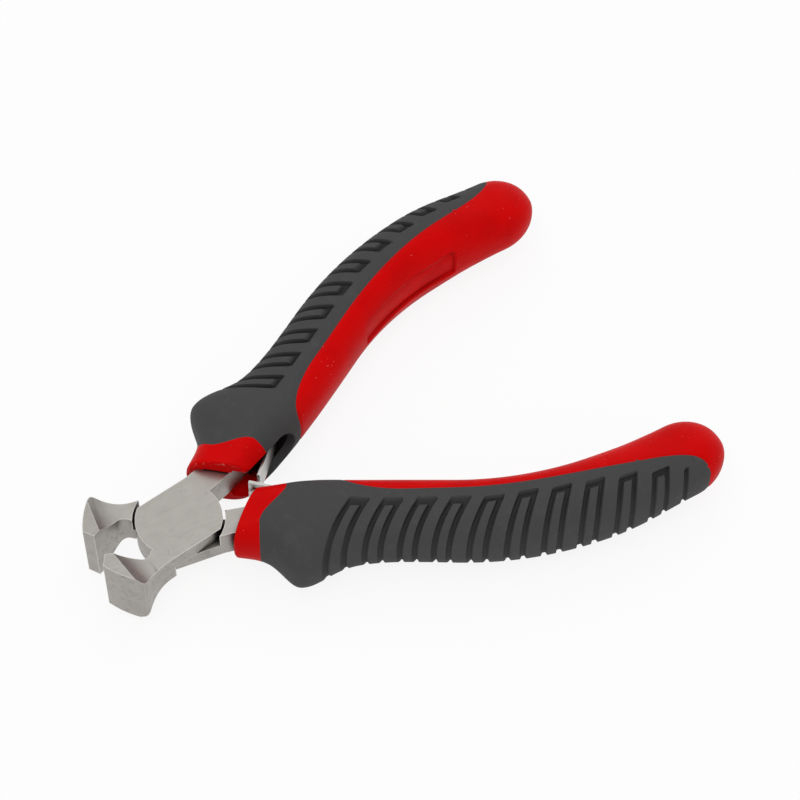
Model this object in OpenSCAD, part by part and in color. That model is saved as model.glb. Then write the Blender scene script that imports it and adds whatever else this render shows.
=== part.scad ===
// End cutting nippers, small size, lap-jointed, with sprung two-colour handles.
// The frame has its origin on the pivot axis at the underside of the joint:
// +Z runs up the pivot, +X to the handles, -X to the jaws.
// The upper half carries the +Y handle and the -Y jaw. The lower half is the
// same forging turned half a turn about the length of the tool.

/* [Joint] */
// Thickness of the lap joint
joint_t = 6.2; // [5.8:0.1:6.6]
// Radius of the round plate about the pivot
plate_r = 8.15; // [8:0.05:8.3]
// Half the distance between the flats of the plate
plate_flat = 6.6; // [6.4:0.1:6.7]
// Angle that each half is turned open at rest
half_open = 7.8; // [7:0.1:8.5]
// Gap between the two lapped faces
lap_gap = 0.06; // [0.04:0.01:0.1]
// Gap between the plate's rim and the shoulder of the other half
shoulder_gap = 0.5; // [0.4:0.05:0.6]
// Radius of the pivot rivet
rivet_r = 2.6; // [2.2:0.1:2.8]
// Running clearance of the rivet, on the radius
rivet_clear = 0.03; // [0.02:0.01:0.06]

/* [Jaws] */
// Height of the jaws, which is the length of the cutting edge
jaw_h = 13.6; // [13:0.1:14]
// Distance of the cutting edge in front of the pivot
edge_x = 16.2; // [15.9:0.1:16.5]
// Distance of the foremost ridge in front of the pivot
ridge_x = 17.8; // [17.4:0.1:18]
// Distance of the foremost ridge from the middle line, jaws closed
ridge_y = 1.8; // [1.6:0.1:2]
// Distance of the outer corner in front of the pivot
corner_x = 14; // [13.7:0.1:14.2]
// Distance of the outer corner from the middle line, jaws closed
corner_y = 9.5; // [9.3:0.1:9.7]
// Radius that rounds the outer corner
corner_r = 1.1; // [0.8:0.1:1.3]
// Radius of the hollow at the back of the throat
throat_r = 1.9; // [1.7:0.1:2]
// Distance of the throat hollow's centre in front of the pivot
throat_x = 9.9; // [9.8:0.1:10.1]
// Distance of the throat hollow's centre from the middle line
throat_y = 1.7; // [1.6:0.1:1.8]
// Distance in front of the pivot where the jaw starts to rise
rise_x = 7.4; // [7:0.1:8]
// Distance in front of the pivot where the jaw is at full height
crest_x = 14.9; // [14.5:0.1:15.3]
// Crown of the front edge, over its height
crown = 0.2; // [0.1:0.1:0.4]
// How far the slanted front face bows out
front_bow = 0.35; // [0.2:0.05:0.5]

/* [Tang] */
// Half the width of the tang
tang_w = 2.6; // [2.3:0.1:2.7]
// How far the tang reaches into the handle
tang_s = 56; // [45:1:60]

/* [Handles] */
// Where the handle's middle line starts, along the tool
axis_x = 11.8; // [11.5:0.1:12]
// Where the handle's middle line starts, across the tool
axis_y = 5.6; // [5.4:0.1:5.8]
// Slope of the front of the handle at rest
axis_dir = 30; // [29:0.5:31]
// Straight length of the handle before its bend
straight_s = 38; // [36:1:39]
// Radius of the handle's bend
bend_r = 73; // [70:1:76]
// Turn of the handle's bend
bend_turn = 30; // [28:1:31]
// Length of the handle along its middle line
handle_s = 93.4; // [92:0.2:94.4]
// Half the width of the handle
grip_w = 7.95; // [7.7:0.05:8.1]
// Half the thickness of the handle
grip_h = 7; // [6.7:0.1:7.2]
// Squareness of the handle's section, where 2 is an ellipse
grip_square = 2.4; // [2.2:0.1:2.6]
// How much narrower the collar is than the handle, on each side
collar_taper = 2.7; // [2.4:0.1:2.9]
// How far the collar flares out at its mouth, on the outer side
collar_flare = 0.8; // [0.5:0.1:1]
// How far the thumb stop stands out
stop_out = 4.9; // [4.5:0.1:5.1]
// Where the thumb stop is highest
stop_s = 9.6; // [9.4:0.1:10]
// How much the thumb stop thickens the handle, on each face
stop_up = 1.6; // [1.3:0.1:1.8]
// How much the palm swell thickens the handle, on each face
palm_up = 2; // [1.6:0.1:2.2]
// How much the handle narrows at the palm swell, on each side
palm_in = 1; // [0.8:0.05:1.2]
// Where the palm swell is thickest
palm_s = 60; // [57:0.5:62]
// Length of the rounded tail
tail_s = 9; // [8:0.5:10]
// Thickness of the soft grip over the sleeve
skin_t = 1.7; // [1.5:0.1:1.9]
// Wall of the sleeve round its open mouth
mouth_wall = 1.35; // [1.2:0.05:1.4]

/* [Colour split] */
// Where the soft grip starts behind the collar
grip_s = 4.5; // [4.3:0.1:4.7]
// How much later the soft grip starts on the inner side, and earlier on the outer side
grip_skew = 2.4; // [2:0.1:2.5]
// Where the sleeve comes out on the inner side
inner_s = 16.8; // [16.4:0.1:17.2]
// How far the soft grip reaches over to the inner side
over_lat = 3.3; // [3:0.1:3.6]
// Where the soft grip ends at the tail
tongue_s = 86.6; // [86:0.2:87]
// Length of the bare panel on the inner side
panel_len = 28.7; // [26:0.1:30]
// Half the height of the bare panel
panel_h = 3.3; // [3:0.1:3.5]
// How far the bare panel lies above the middle of the inner side
panel_up = 0.9; // [0.5:0.1:1.2]
// Where the bare panel starts
panel_s = 42.5; // [41:0.5:44]

/* [Ribs] */
// Where the first channel starts
rib_s = 18.5; // [18.2:0.1:18.8]
// Distance from one channel to the next
rib_pitch = 6.27; // [6.15:0.01:6.3]
// Number of channels with two legs
rib_n = 10; // [8:1:10]
// Width over one channel's two legs
rib_w = 4; // [3.8:0.1:4.2]
// Width of one leg
rib_leg = 1.25; // [1.1:0.05:1.35]
// Depth of the channels
rib_deep = 0.95; // [0.7:0.05:1.1]
// How far the channels lean forwards, for each mm outwards
rib_lean = 0.5; // [0.4:0.05:0.6]
// Width of the smooth margin between the colour edge and the channels
rib_margin = 2.6; // [2.4:0.1:2.8]

/* [Springs] */
// Thickness of the leaf springs
leaf_t = 0.55; // [0.5:0.05:0.6]
// Width of the leaf springs
leaf_w = 5.6; // [5:0.1:5.8]
// Where the foot of a leaf ends in the handle
foot_s = 22; // [21:0.5:23]
// Where a leaf bends away from the tang
bend_s = 16; // [15.5:0.5:16.5]
// Width of the tongue on the upper leaf
tongue_w = 2.2; // [2:0.1:2.4]
// Width of the window in the lower leaf
window_w = 3; // [2.9:0.1:3.2]
// Radius of the small rivet that holds a leaf
pin_r = 0.9; // [0.8:0.1:1]
// Clearance round a leaf in its pocket
leaf_room = 0.5; // [0.4:0.05:0.6]
// Half the height of the slot that a leaf comes out of
slot_half = 4.85; // [4.6:0.05:5]
// Where the slot ends in the handle
slot_end = 14.2; // [13.8:0.1:14.4]
// Length of the slot's rounded end
slot_round = 4.2; // [3.8:0.1:4.8]

/* [Hidden] */
$fn = 96;
steel = "#aca8a2";
red = "#c00000";
grey = "#484848";
big = 60;
joint_half = joint_t / 2;
jaw_half = jaw_h / 2;
shoulder_r = plate_r + shoulder_gap;
rim_steps = 8;

// Middle line of the handle, by the length along it
bend_len = bend_r * bend_turn * PI / 180;
function heading(s) = axis_dir - bend_turn * min(1, max(0, (s - straight_s) / bend_len));
function run(s) = [cos(axis_dir), sin(axis_dir)] * min(s, straight_s);
function turn(s) = bend_r * [sin(axis_dir) - sin(heading(s)), cos(heading(s)) - cos(axis_dir)];
function rest(s) = max(0, s - straight_s - bend_len) * [cos(heading(s)), sin(heading(s))];
function axis_at(s) = [axis_x, axis_y] + run(s) + turn(s) + rest(s);
function beside(s, lat) = axis_at(s) + lat * [-sin(heading(s)), cos(heading(s))];

// Widths of the handle, by the length along it
function ease(a, b, s) = let (t = min(1, max(0, (s - a) / (b - a)))) t * t * (3 - 2 * t);
function bump(s, at, before, after) = exp(-pow((s - at) / (s < at ? before : after), 2));
taper_from = -6;
taper_to = 10;
stop_before = 4.3;
stop_after = 6.4;
tail_from = 66;
tail_thin = 0.7;
function taper(s) = collar_taper * (1 - ease(taper_from, taper_to, s));
function thin(s) = tail_thin * ease(tail_from, handle_s - tail_s, s);
palm_before = 22;
palm_after = 18;
function palm(s) = bump(s, palm_s, palm_before, palm_after);
function width(s) = grip_w - taper(s) - thin(s) - palm_in * palm(s);
function swell(s) = stop_up * bump(s, stop_s + 2, stop_before * 2, stop_after);
flare_from = -3;
flare_to = 4.5;
function flare(s) = collar_flare * (1 - ease(flare_from, flare_to, s));
waist_s = 29;
waist_before = 8;
waist_after = 16;
waist_in = 0.7;
flank_s = 7.5;
flank_before = 6.4;
flank_after = 9;
flank_in = 1.15;
function inner_w(s) = width(s) - flank_in * bump(s, flank_s, flank_before, flank_after);
function outer_w(s) = width(s) + flare(s) + stop_out * bump(s, stop_s, stop_before, stop_after)
    - waist_in * bump(s, waist_s, waist_before, waist_after);
taper_up = 0.35;
function height(s) = grip_h - taper(s) * taper_up - thin(s) + swell(s) + palm_up * palm(s);
function cap(s, t) = sqrt(max(0, 1 - pow(max(0, s - handle_s + tail_s) / (tail_s - t), 2)));

function power(v, p) = sign(v) * pow(abs(v), p);
function ring(s, t, sides) = let (k = cap(s, t), p = 2 / grip_square) [
    for (i = [0:sides - 1])
        let (a = 360 * (i + 0.5) / sides, w = (cos(a) > 0 ? outer_w(s) : inner_w(s)) - t)
        let (q = beside(s, power(cos(a), p) * w * k))
        [q[0], q[1], power(sin(a), p) * (height(s) - t) * k]];
front_s = -5;
function stations(t, step) = concat(
    [for (s = [front_s:step:stop_s + stop_after * 2]) s],
    [for (s = [stop_s + stop_after * 2 + step * 2:step * 2.6:handle_s - tail_s]) s],
    [for (a = [10:16:88]) handle_s - tail_s + (tail_s - t) * sin(a)]);

// The handle's form, drawn in by t all round
module form(t, sides, step) {
    at = stations(t, step);
    last = len(at) - 1;
    points = [for (s = at) each ring(s, t, sides)];
    skin = [for (j = [0:last - 1], i = [0:sides - 1]) let (n = (i + 1) % sides)
        [j * sides + i, j * sides + n, (j + 1) * sides + n, (j + 1) * sides + i]];
    ends = [[for (i = [sides - 1:-1:0]) i], [for (i = [0:sides - 1]) last * sides + i]];
    polyhedron(points = points, faces = concat([for (f = skin) [for (i = [3:-1:0]) f[i]]],
        [for (f = ends) [for (i = [len(f) - 1:-1:0]) f[i]]]), convexity = 6);
}

// A plan outline given along and across the handle, through the whole height
module slab(outline, half = big / 2) {
    translate([0, 0, -half])
        linear_extrude(2 * half) polygon([for (q = outline) beside(q[0], q[1])]);
}

wide = 2 * grip_w + stop_out;
mouth_s = -0.6;
mouth_lean = 0.357;
mouth_deep = 5;
grip_turn = 3.7;
function mouth_at(lat) = mouth_s - mouth_lean * lat;
function grip_at(lat) = grip_s + grip_skew * (1 - 2 * ease(-grip_turn, grip_turn, lat));
mouth_cut = [[front_s * 4, -wide], [mouth_at(-wide), -wide], [mouth_at(wide), wide], [front_s * 4, wide]];
hollow_fit = 0.35;
hollow_out = tang_w + hollow_fit;
hollow_half = joint_half + hollow_fit;
hollow_zone = [[front_s * 4, -wide], [mouth_deep, -wide],
    [mouth_deep, hollow_out], [front_s * 4, hollow_out]];

// Edge of the soft grip on the faces of the handle: level, then swept out to a round tongue
sweep_from = 36;
sweep_power = 1.7;
tongue_power = 0.36;
tongue_out = 7.7;
function sweep(s) = let (t = min(1, max(0, (s - sweep_from) / (tongue_s - sweep_from))))
    1 - pow(1 - pow(t, sweep_power), tongue_power);
function edge_lat(s) = -over_lat + (over_lat + tongue_out) * sweep(s);
// The inner corner of the soft grip, rounded from its end on the inner side to its edge
corner_len = 11;
corner_from = [inner_s, -grip_w];
corner_turn = [inner_s + 0.6, -over_lat - 0.6];
corner_to = [inner_s + corner_len, edge_lat(inner_s + corner_len)];
grip_zone = concat(
    [[grip_at(wide), wide]],
    [for (k = [1:-0.25:-1]) [grip_at(k * grip_turn), k * grip_turn]],
    [[grip_at(-wide), -wide], [inner_s, -wide]],
    [for (f = [0:0.2:1]) blend(corner_from, corner_turn, corner_to, f)],
    [for (s = [inner_s + corner_len + 4:4.6:tongue_s - 7]) [s, edge_lat(s)]],
    [for (f = [0.5, 0.25, 0.1, 0.03, 0]) [tongue_s - 7 * f, edge_lat(tongue_s - 7 * f)]],
    [[tongue_s, wide]]);

form_sides = 20;
form_step = 2.3;
core_sides = 16;
core_step = 4;
module outer_form() { form(0, form_sides, form_step); }
module channel_floor() { form(rib_deep, form_sides, form_step); }
module core() { form(skin_t, core_sides, core_step); }

// One channel in plan: two legs joined by a head, leaning forwards as they go out
leg_reach = 13;
module bar(a, b) {
    hull() {
        for (q = [a, b]) translate(beside(q[0], q[1])) rotate([0, 0, heading(q[0])])
            cube([rib_leg, rib_leg, big], center = true);
    }
}
module leg(s, head) { bar([s, head], [s - rib_lean * (leg_reach - head), leg_reach]); }
module channel(s) {
    near = s + rib_leg / 2;
    far = s + rib_w - rib_leg / 2;
    head = edge_lat(s + rib_w / 2) + rib_margin + rib_leg / 2;
    bar([near, head], [far, head]);
    leg(near, head);
    leg(far, head);
}
// The last groove, near the tongue, is a single leg
module last_groove() {
    s = rib_s + rib_n * rib_pitch + rib_leg / 2;
    leg(s, edge_lat(s) + rib_margin);
}

// Room for the leaf spring: a pocket for its foot, and a round-ended slot on the inner side
pocket_half = leaf_w / 2 + leaf_room;
pocket_end = foot_s + leaf_room;
pocket_floor = tang_w - 0.4;
pocket_deep = tang_w + 1.8;
pocket_zone = [[front_s * 2, -pocket_floor], [pocket_end, -pocket_floor], [pocket_end, -pocket_deep],
    [front_s * 2, -pocket_deep]];
slot_side = concat([[front_s * 2, -slot_half]],
    [for (a = [-90:15:90]) [slot_end - slot_round + slot_round * cos(a), slot_half * sin(a)]],
    [[front_s * 2, slot_half]]);
module spring_slot() {
    slab(pocket_zone, pocket_half);
    translate(beside(0, -pocket_floor)) rotate([0, 0, heading(0)]) rotate([90, 0, 0])
        linear_extrude(wide) polygon(slot_side);
}

// Tang: a bend from the joint, then along the middle line of the handle
tang_from = [8.33, 5.48];
tang_join = 10;
tang_run = axis_at(tang_join) - tang_from;
tang_dir = 2 * atan2(tang_run[1], tang_run[0]) - axis_dir;
tang_tip = 0.75;
function tang_dir_at(f) = tang_dir + (axis_dir - tang_dir) * f;
function side_of(p, d, lat) = p + lat * [-sin(d), cos(d)];
tang_bend_r = norm(axis_at(tang_join) - tang_from) / (2 * sin((axis_dir - tang_dir) / 2));
function tang_bend(f) = tang_from + tang_bend_r
    * [sin(tang_dir_at(f)) - sin(tang_dir), cos(tang_dir) - cos(tang_dir_at(f))];
function tang_half(s) = tang_w * (1 - (1 - tang_tip) * ease(tang_join + 14, tang_s, s));
function tang_side(k) = concat(
    [for (f = [0:0.25:1]) side_of(tang_bend(f), tang_dir_at(f), k * tang_w)],
    [for (s = [tang_join + 14:4:tang_s]) beside(s, k * tang_half(s))]);
function backwards(list) = [for (i = [len(list) - 1:-1:0]) list[i]];
// The tang's root widens into the side of the joint plate
function turned(p, a) = [p[0] * cos(a) - p[1] * sin(a), p[0] * sin(a) + p[1] * cos(a)];
root_back = turned([-plate_r / 2, plate_flat], half_open);
root_flat = turned([plate_r * 0.75, plate_flat], half_open);
module tang_plan() {
    polygon(concat([[0, 0]], tang_side(-1), backwards(tang_side(1)), [root_flat, root_back]));
}
module tang_bar() {
    translate([0, 0, -joint_half]) linear_extrude(joint_t) tang_plan();
}

// Jaw in plan, jaws closed: edge, front bevel, ridge, slanted front, hollow side, throat
side_x = 6.2;
side_r = (pow(corner_x - side_x, 2) + pow(corner_y - plate_flat, 2)) / (2 * (corner_y - plate_flat));
side_angle = asin((corner_x - side_x) / side_r);
throat_at = [-throat_x, -throat_y];
edge_at = [-edge_x, -0.02];
throat_far = norm(throat_at - edge_at);
throat_look = atan2(throat_at[1] - edge_at[1], throat_at[0] - edge_at[0]);
throat_from = throat_look - asin(throat_r / throat_far) - 90;
throat_to = -37;
function on_throat(a) = throat_at + throat_r * [cos(a), sin(a)];
function on_side(a) = [-side_x - side_r * sin(a), -plate_flat - side_r * (1 - cos(a))];
ridge_at = [-ridge_x, -ridge_y];
corner_at = [-corner_x, -corner_y];
front_run = (corner_at - ridge_at) / norm(corner_at - ridge_at);
corner_back = corner_r * 1.3;
function corner_front() = corner_at - corner_back * front_run;
function front_at(f) = ridge_at + (corner_front() - ridge_at) * f
    + front_bow * 4 * f * (1 - f) * [front_run[1], -front_run[0]];
corner_side = on_side(side_angle - asin(corner_back / side_r));
function blend(a, b, c, f) = a * pow(1 - f, 2) + b * 2 * f * (1 - f) + c * pow(f, 2);
module jaw_plan() {
    polygon(concat(
        [edge_at, ridge_at],
        [for (f = [0.2:0.2:0.8]) front_at(f)],
        [for (f = [0:0.25:1]) blend(corner_front(), corner_at, corner_side, f)],
        [for (k = [1:rim_steps]) on_side((side_angle - asin(corner_back / side_r)) * (1 - k / rim_steps))],
        [[0, -plate_flat], [0, -throat_y], [-plate_r * 0.8, -throat_y * 1.1]],
        [for (k = [0:rim_steps]) on_throat(throat_to + (throat_from - throat_to) * k / rim_steps)]));
}

// Jaw from the side: level with the joint, rising in a hollow curve to a crowned front edge
rise = jaw_half - joint_half;
rise_r = (pow(crest_x - rise_x, 2) + rise * rise) / (2 * rise);
rise_angle = asin((crest_x - rise_x) / rise_r);
function on_rise(a) = [-rise_x - rise_r * sin(a), joint_half + rise_r * (1 - cos(a))];
jaw_top = concat(
    [[big / 2, joint_half]],
    [for (k = [0:rim_steps]) on_rise(rise_angle * k / rim_steps)],
    [[-ridge_x - 1, jaw_half - crown]]);
module jaw_side() {
    rotate([90, 0, 0]) linear_extrude(big, center = true)
        polygon(concat(jaw_top, [for (q = backwards(jaw_top)) [q[0], -q[1]]]));
}

// One forging with the jaws closed: plate, jaw and tang
module plate_plan() {
    intersection() {
        circle(r = plate_r);
        square([4 * plate_r, 2 * plate_flat], center = true);
    }
}
module forging(bore) {
    rotate([0, 0, half_open]) difference() {
        union() {
            translate([0, 0, lap_gap / 2]) linear_extrude(joint_half - lap_gap / 2) plate_plan();
            intersection() {
                linear_extrude(jaw_h * 2, center = true) jaw_plan();
                jaw_side();
            }
            rotate([0, 0, -half_open]) tang_bar();
        }
        translate([0, 0, -big / 2]) cylinder(r = shoulder_r, h = big / 2 + lap_gap / 2);
        translate([0, 0, -big / 2]) cylinder(r = bore, h = big);
    }
}
// Rivet hole for a leaf spring, across the tang
pin_s = (bend_s + foot_s) / 2;
module across(lat_from, lat_to, r) {
    translate(beside(pin_s, lat_from)) rotate([0, 0, heading(pin_s)]) rotate([-90, 0, 0])
        cylinder(r = r, h = lat_to - lat_from);
}
pin_deep = 2.2;
head_t = 0.5;
module half_body(bore) {
    difference() {
        forging(bore);
        across(-tang_w - 1, pin_deep - tang_w, pin_r);
    }
}

module sleeve_body() {
    difference() {
        union() {
            difference() {
                outer_form();
                slab(grip_zone);
            }
            core();
        }
        intersection() {
            form(mouth_wall, core_sides, core_step);
            slab(hollow_zone, hollow_half);
        }
        slab(mouth_cut);
        tang_room();
        spring_slot();
        panel();
    }
}

// Room for the tang, as straight lengths end to end
module tang_room() {
    a = tang_side(-1);
    b = tang_side(1);
    linear_extrude(joint_t, center = true)
        for (i = [0:len(a) - 2]) hull() polygon([a[i], a[i + 1], b[i + 1], b[i]]);
}

// Bare shallow panel on the inner side
module panel() {
    difference() {
        translate([0, 0, panel_up])
            slab(concat([for (k = [0:6]) [panel_s + panel_len * k / 6, 0]],
                [for (k = [6:-1:0]) [panel_s + panel_len * k / 6, -wide / 2]]), panel_h);
        form(rib_deep * 0.7, form_sides, form_step);
    }
}

module grip_body() {
    difference() {
        intersection() {
            union() {
                channel_floor();
                difference() {
                    outer_form();
                    for (k = [0:rib_n - 1]) channel(rib_s + rib_pitch * k);
                    last_groove();
                }
            }
            slab(grip_zone);
        }
        core();
        spring_slot();
    }
}

// Leaf spring in plan: the foot on the tang, then a sweep in to the middle line of the tool
tip_at = [0.8, -6.7];
leaf_mid = -tang_w - leaf_t / 2;
sweep_at = [bend_s - 4.4, leaf_mid - 0.2];
function leaf_curve(f) = blend([bend_s, leaf_mid], sweep_at, tip_at, f);
leaf_steps = 10;
function leaf_line(past) = concat([[foot_s, leaf_mid]], [for (k = [0:leaf_steps]) leaf_curve(k / leaf_steps)],
    past > 0 ? [tip_at + past * leaf_tip_dir] : []);
leaf_tip_dir = (tip_at - sweep_at) / norm(tip_at - sweep_at);
function line_dir(line, i) = let (a = line[max(0, i - 1)], b = line[min(len(line) - 1, i + 1)])
    (b - a) / norm(b - a);
function line_side(line, k) = [for (i = [0:len(line) - 1])
    line[i] + k * leaf_t / 2 * [-line_dir(line, i)[1], line_dir(line, i)[0]]];
module leaf(past, w) {
    line = leaf_line(past);
    slab(concat(line_side(line, 1), backwards(line_side(line, -1))), w / 2);
}

module leaf_hole() { across(-tang_w - 1.5, 0, pin_r); }

// The tip of the upper leaf narrows to a tongue; the lower leaf has a window for it
tongue_past = 1.5;
window_past = 1.6;
tongue_from = 1.2;
window_front = 0.42;
window_back = 1.6;
module upper_leaf() {
    difference() {
        leaf(tongue_past, leaf_w);
        leaf_hole();
        for (k = [-1, 1]) translate([0, tongue_from - big / 2, k * (tongue_w / 2 + big / 4)])
            cube([big, big, big / 2], center = true);
    }
}
module lower_leaf() {
    difference() {
        leaf(window_past, leaf_w);
        leaf_hole();
        translate([0, -window_front, -window_w / 2]) cube([big, window_front + window_back, window_w]);
    }
}
module leaf_rivet() {
    across(-tang_w - leaf_t - head_t, -tang_w - leaf_t, pin_r * 1.6);
    across(-tang_w - leaf_t - head_t / 2, pin_deep - tang_w, pin_r);
}

module upper() { translate([0, 0, joint_half]) children(); }
module lower() { translate([0, 0, joint_half]) rotate([180, 0, 0]) children(); }

module upper_half() { color(steel) upper() half_body(rivet_r + rivet_clear); }
module lower_half() { color(steel) lower() half_body(rivet_r); }
module pivot_rivet() { color(steel) cylinder(r = rivet_r, h = joint_t); }
module upper_sleeve() { color(red) upper() sleeve_body(); }
module lower_sleeve() { color(red) lower() sleeve_body(); }
module upper_grip() { color(grey) upper() grip_body(); }
module lower_grip() { color(grey) lower() grip_body(); }
module upper_spring() { color(steel) upper() upper_leaf(); }
module lower_spring() { color(steel) lower() lower_leaf(); }
module upper_spring_rivet() { color(steel) upper() leaf_rivet(); }
module lower_spring_rivet() { color(steel) lower() leaf_rivet(); }

upper_half();
lower_half();
pivot_rivet();
upper_sleeve();
lower_sleeve();
upper_grip();
lower_grip();
upper_spring();
lower_spring();
upper_spring_rivet();
lower_spring_rivet();
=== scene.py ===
"""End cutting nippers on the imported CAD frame: forged halves, leaf springs, ribbed two-colour handles."""

from __future__ import annotations

import logging
import math
from contextlib import contextmanager
from dataclasses import dataclass, field
from enum import Enum, IntEnum
from typing import Any, Callable, Iterator, Sequence, Union

import bmesh
import bpy
import numpy as np
from mathutils import Matrix, Vector
from mathutils.geometry import tessellate_polygon


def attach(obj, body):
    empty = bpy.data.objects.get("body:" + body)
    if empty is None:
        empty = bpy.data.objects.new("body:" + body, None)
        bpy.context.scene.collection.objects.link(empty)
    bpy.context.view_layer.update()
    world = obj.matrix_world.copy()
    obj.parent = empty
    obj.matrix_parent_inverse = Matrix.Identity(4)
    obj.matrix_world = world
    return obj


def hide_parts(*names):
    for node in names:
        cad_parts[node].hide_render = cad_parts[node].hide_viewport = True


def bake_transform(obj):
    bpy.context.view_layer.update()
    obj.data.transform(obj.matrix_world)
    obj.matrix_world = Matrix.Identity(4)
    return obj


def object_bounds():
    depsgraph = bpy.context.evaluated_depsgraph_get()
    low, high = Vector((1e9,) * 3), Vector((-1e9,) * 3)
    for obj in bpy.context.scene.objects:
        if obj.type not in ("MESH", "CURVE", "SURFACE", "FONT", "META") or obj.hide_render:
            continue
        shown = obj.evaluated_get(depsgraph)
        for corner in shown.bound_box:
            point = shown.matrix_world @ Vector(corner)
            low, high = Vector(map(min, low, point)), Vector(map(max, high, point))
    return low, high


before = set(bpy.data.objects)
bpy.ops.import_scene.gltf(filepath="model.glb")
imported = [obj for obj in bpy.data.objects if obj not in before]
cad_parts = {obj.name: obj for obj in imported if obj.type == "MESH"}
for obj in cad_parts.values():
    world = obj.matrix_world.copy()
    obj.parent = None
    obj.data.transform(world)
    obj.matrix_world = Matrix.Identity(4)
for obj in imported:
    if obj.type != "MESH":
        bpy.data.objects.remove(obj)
CAD_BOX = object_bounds()

LOG = logging.getLogger("nippers")
MM = 0.001
JOINT_HALF = 3.1
FAR = 9.0
TINY = 1e-9

Array = np.ndarray
Span = tuple[float, float]
Colour = tuple[float, float, float]
Field = Callable[[Array, Array, Array], Array]


def ease(low: float, high: float, s: Array) -> Array:
    """Step smoothly from 0 at low to 1 at high."""
    t = np.clip((s - low) / (high - low), 0.0, 1.0)
    return t * t * (3.0 - 2.0 * t)


def bump(s: Array, at: float, before: float, after: float) -> Array:
    """Give a bell of height 1 at a place, with its own spread on each side."""
    return np.exp(-(((s - at) / np.where(s < at, before, after)) ** 2))


def rounded_box(x: Array, y: Array, half_x: float, half_y: float, radius: float) -> Array:
    """Measure the distance to a box with round corners.

    Args:
        x: First coordinate from the box's middle.
        y: Second coordinate from the box's middle.
        half_x: Half the box's first size.
        half_y: Half the box's second size.
        radius: Radius of the corners.

    Returns:
        The distance, negative inside.
    """
    dx = np.abs(x) - half_x + radius
    dy = np.abs(y) - half_y + radius
    outside = np.hypot(np.maximum(dx, 0.0), np.maximum(dy, 0.0))
    return outside + np.minimum(np.maximum(dx, dy), 0.0) - radius


def compact(faces: Array) -> tuple[Array, Array]:
    """List the points that triangles use, and number their corners by that list."""
    used, corners = np.unique(faces, return_inverse=True)
    return used, corners.reshape(-1, 3)


def add_object(name: str, data: bpy.types.ID) -> bpy.types.Object:
    """Put a new object with the given data in the scene.

    Args:
        name: The object's name.
        data: Its mesh, camera or light.

    Returns:
        The object.
    """
    piece = bpy.data.objects.new(name, data)
    bpy.context.scene.collection.objects.link(piece)
    return piece


@contextmanager
def editing(mesh: bpy.types.Mesh) -> Iterator[bmesh.types.BMesh]:
    """Open a mesh for editing, and write it back with smooth shading.

    Args:
        mesh: The mesh.

    Yields:
        The mesh's editable form.
    """
    work = bmesh.new()
    work.from_mesh(mesh)
    yield work
    work.to_mesh(mesh)
    work.free()
    mesh.polygons.foreach_set("use_smooth", [True] * len(mesh.polygons))


class Side(Enum):
    """The two arms. The lower one is the upper one turned over about the tool's length."""

    UPPER = "upper"
    LOWER = "lower"

    @property
    def body(self) -> str:
        """Name the CAD body of this arm."""
        return f"{self.value}_arm"

    @property
    def other(self) -> Side:
        """Name the opposite arm."""
        return Side.LOWER if self is Side.UPPER else Side.UPPER

    def place(self, points: Array) -> Array:
        """Put points of the upper arm's plan on this arm.

        Args:
            points: Rows of x, y, z in millimetres, with z from the joint's mid-plane.

        Returns:
            The points in metres, in the part's frame.
        """
        turn = np.array([1.0, 1.0, 1.0] if self is Side.UPPER else [1.0, -1.0, -1.0])
        return (points * turn + np.array([0.0, 0.0, JOINT_HALF])) * MM


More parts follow.
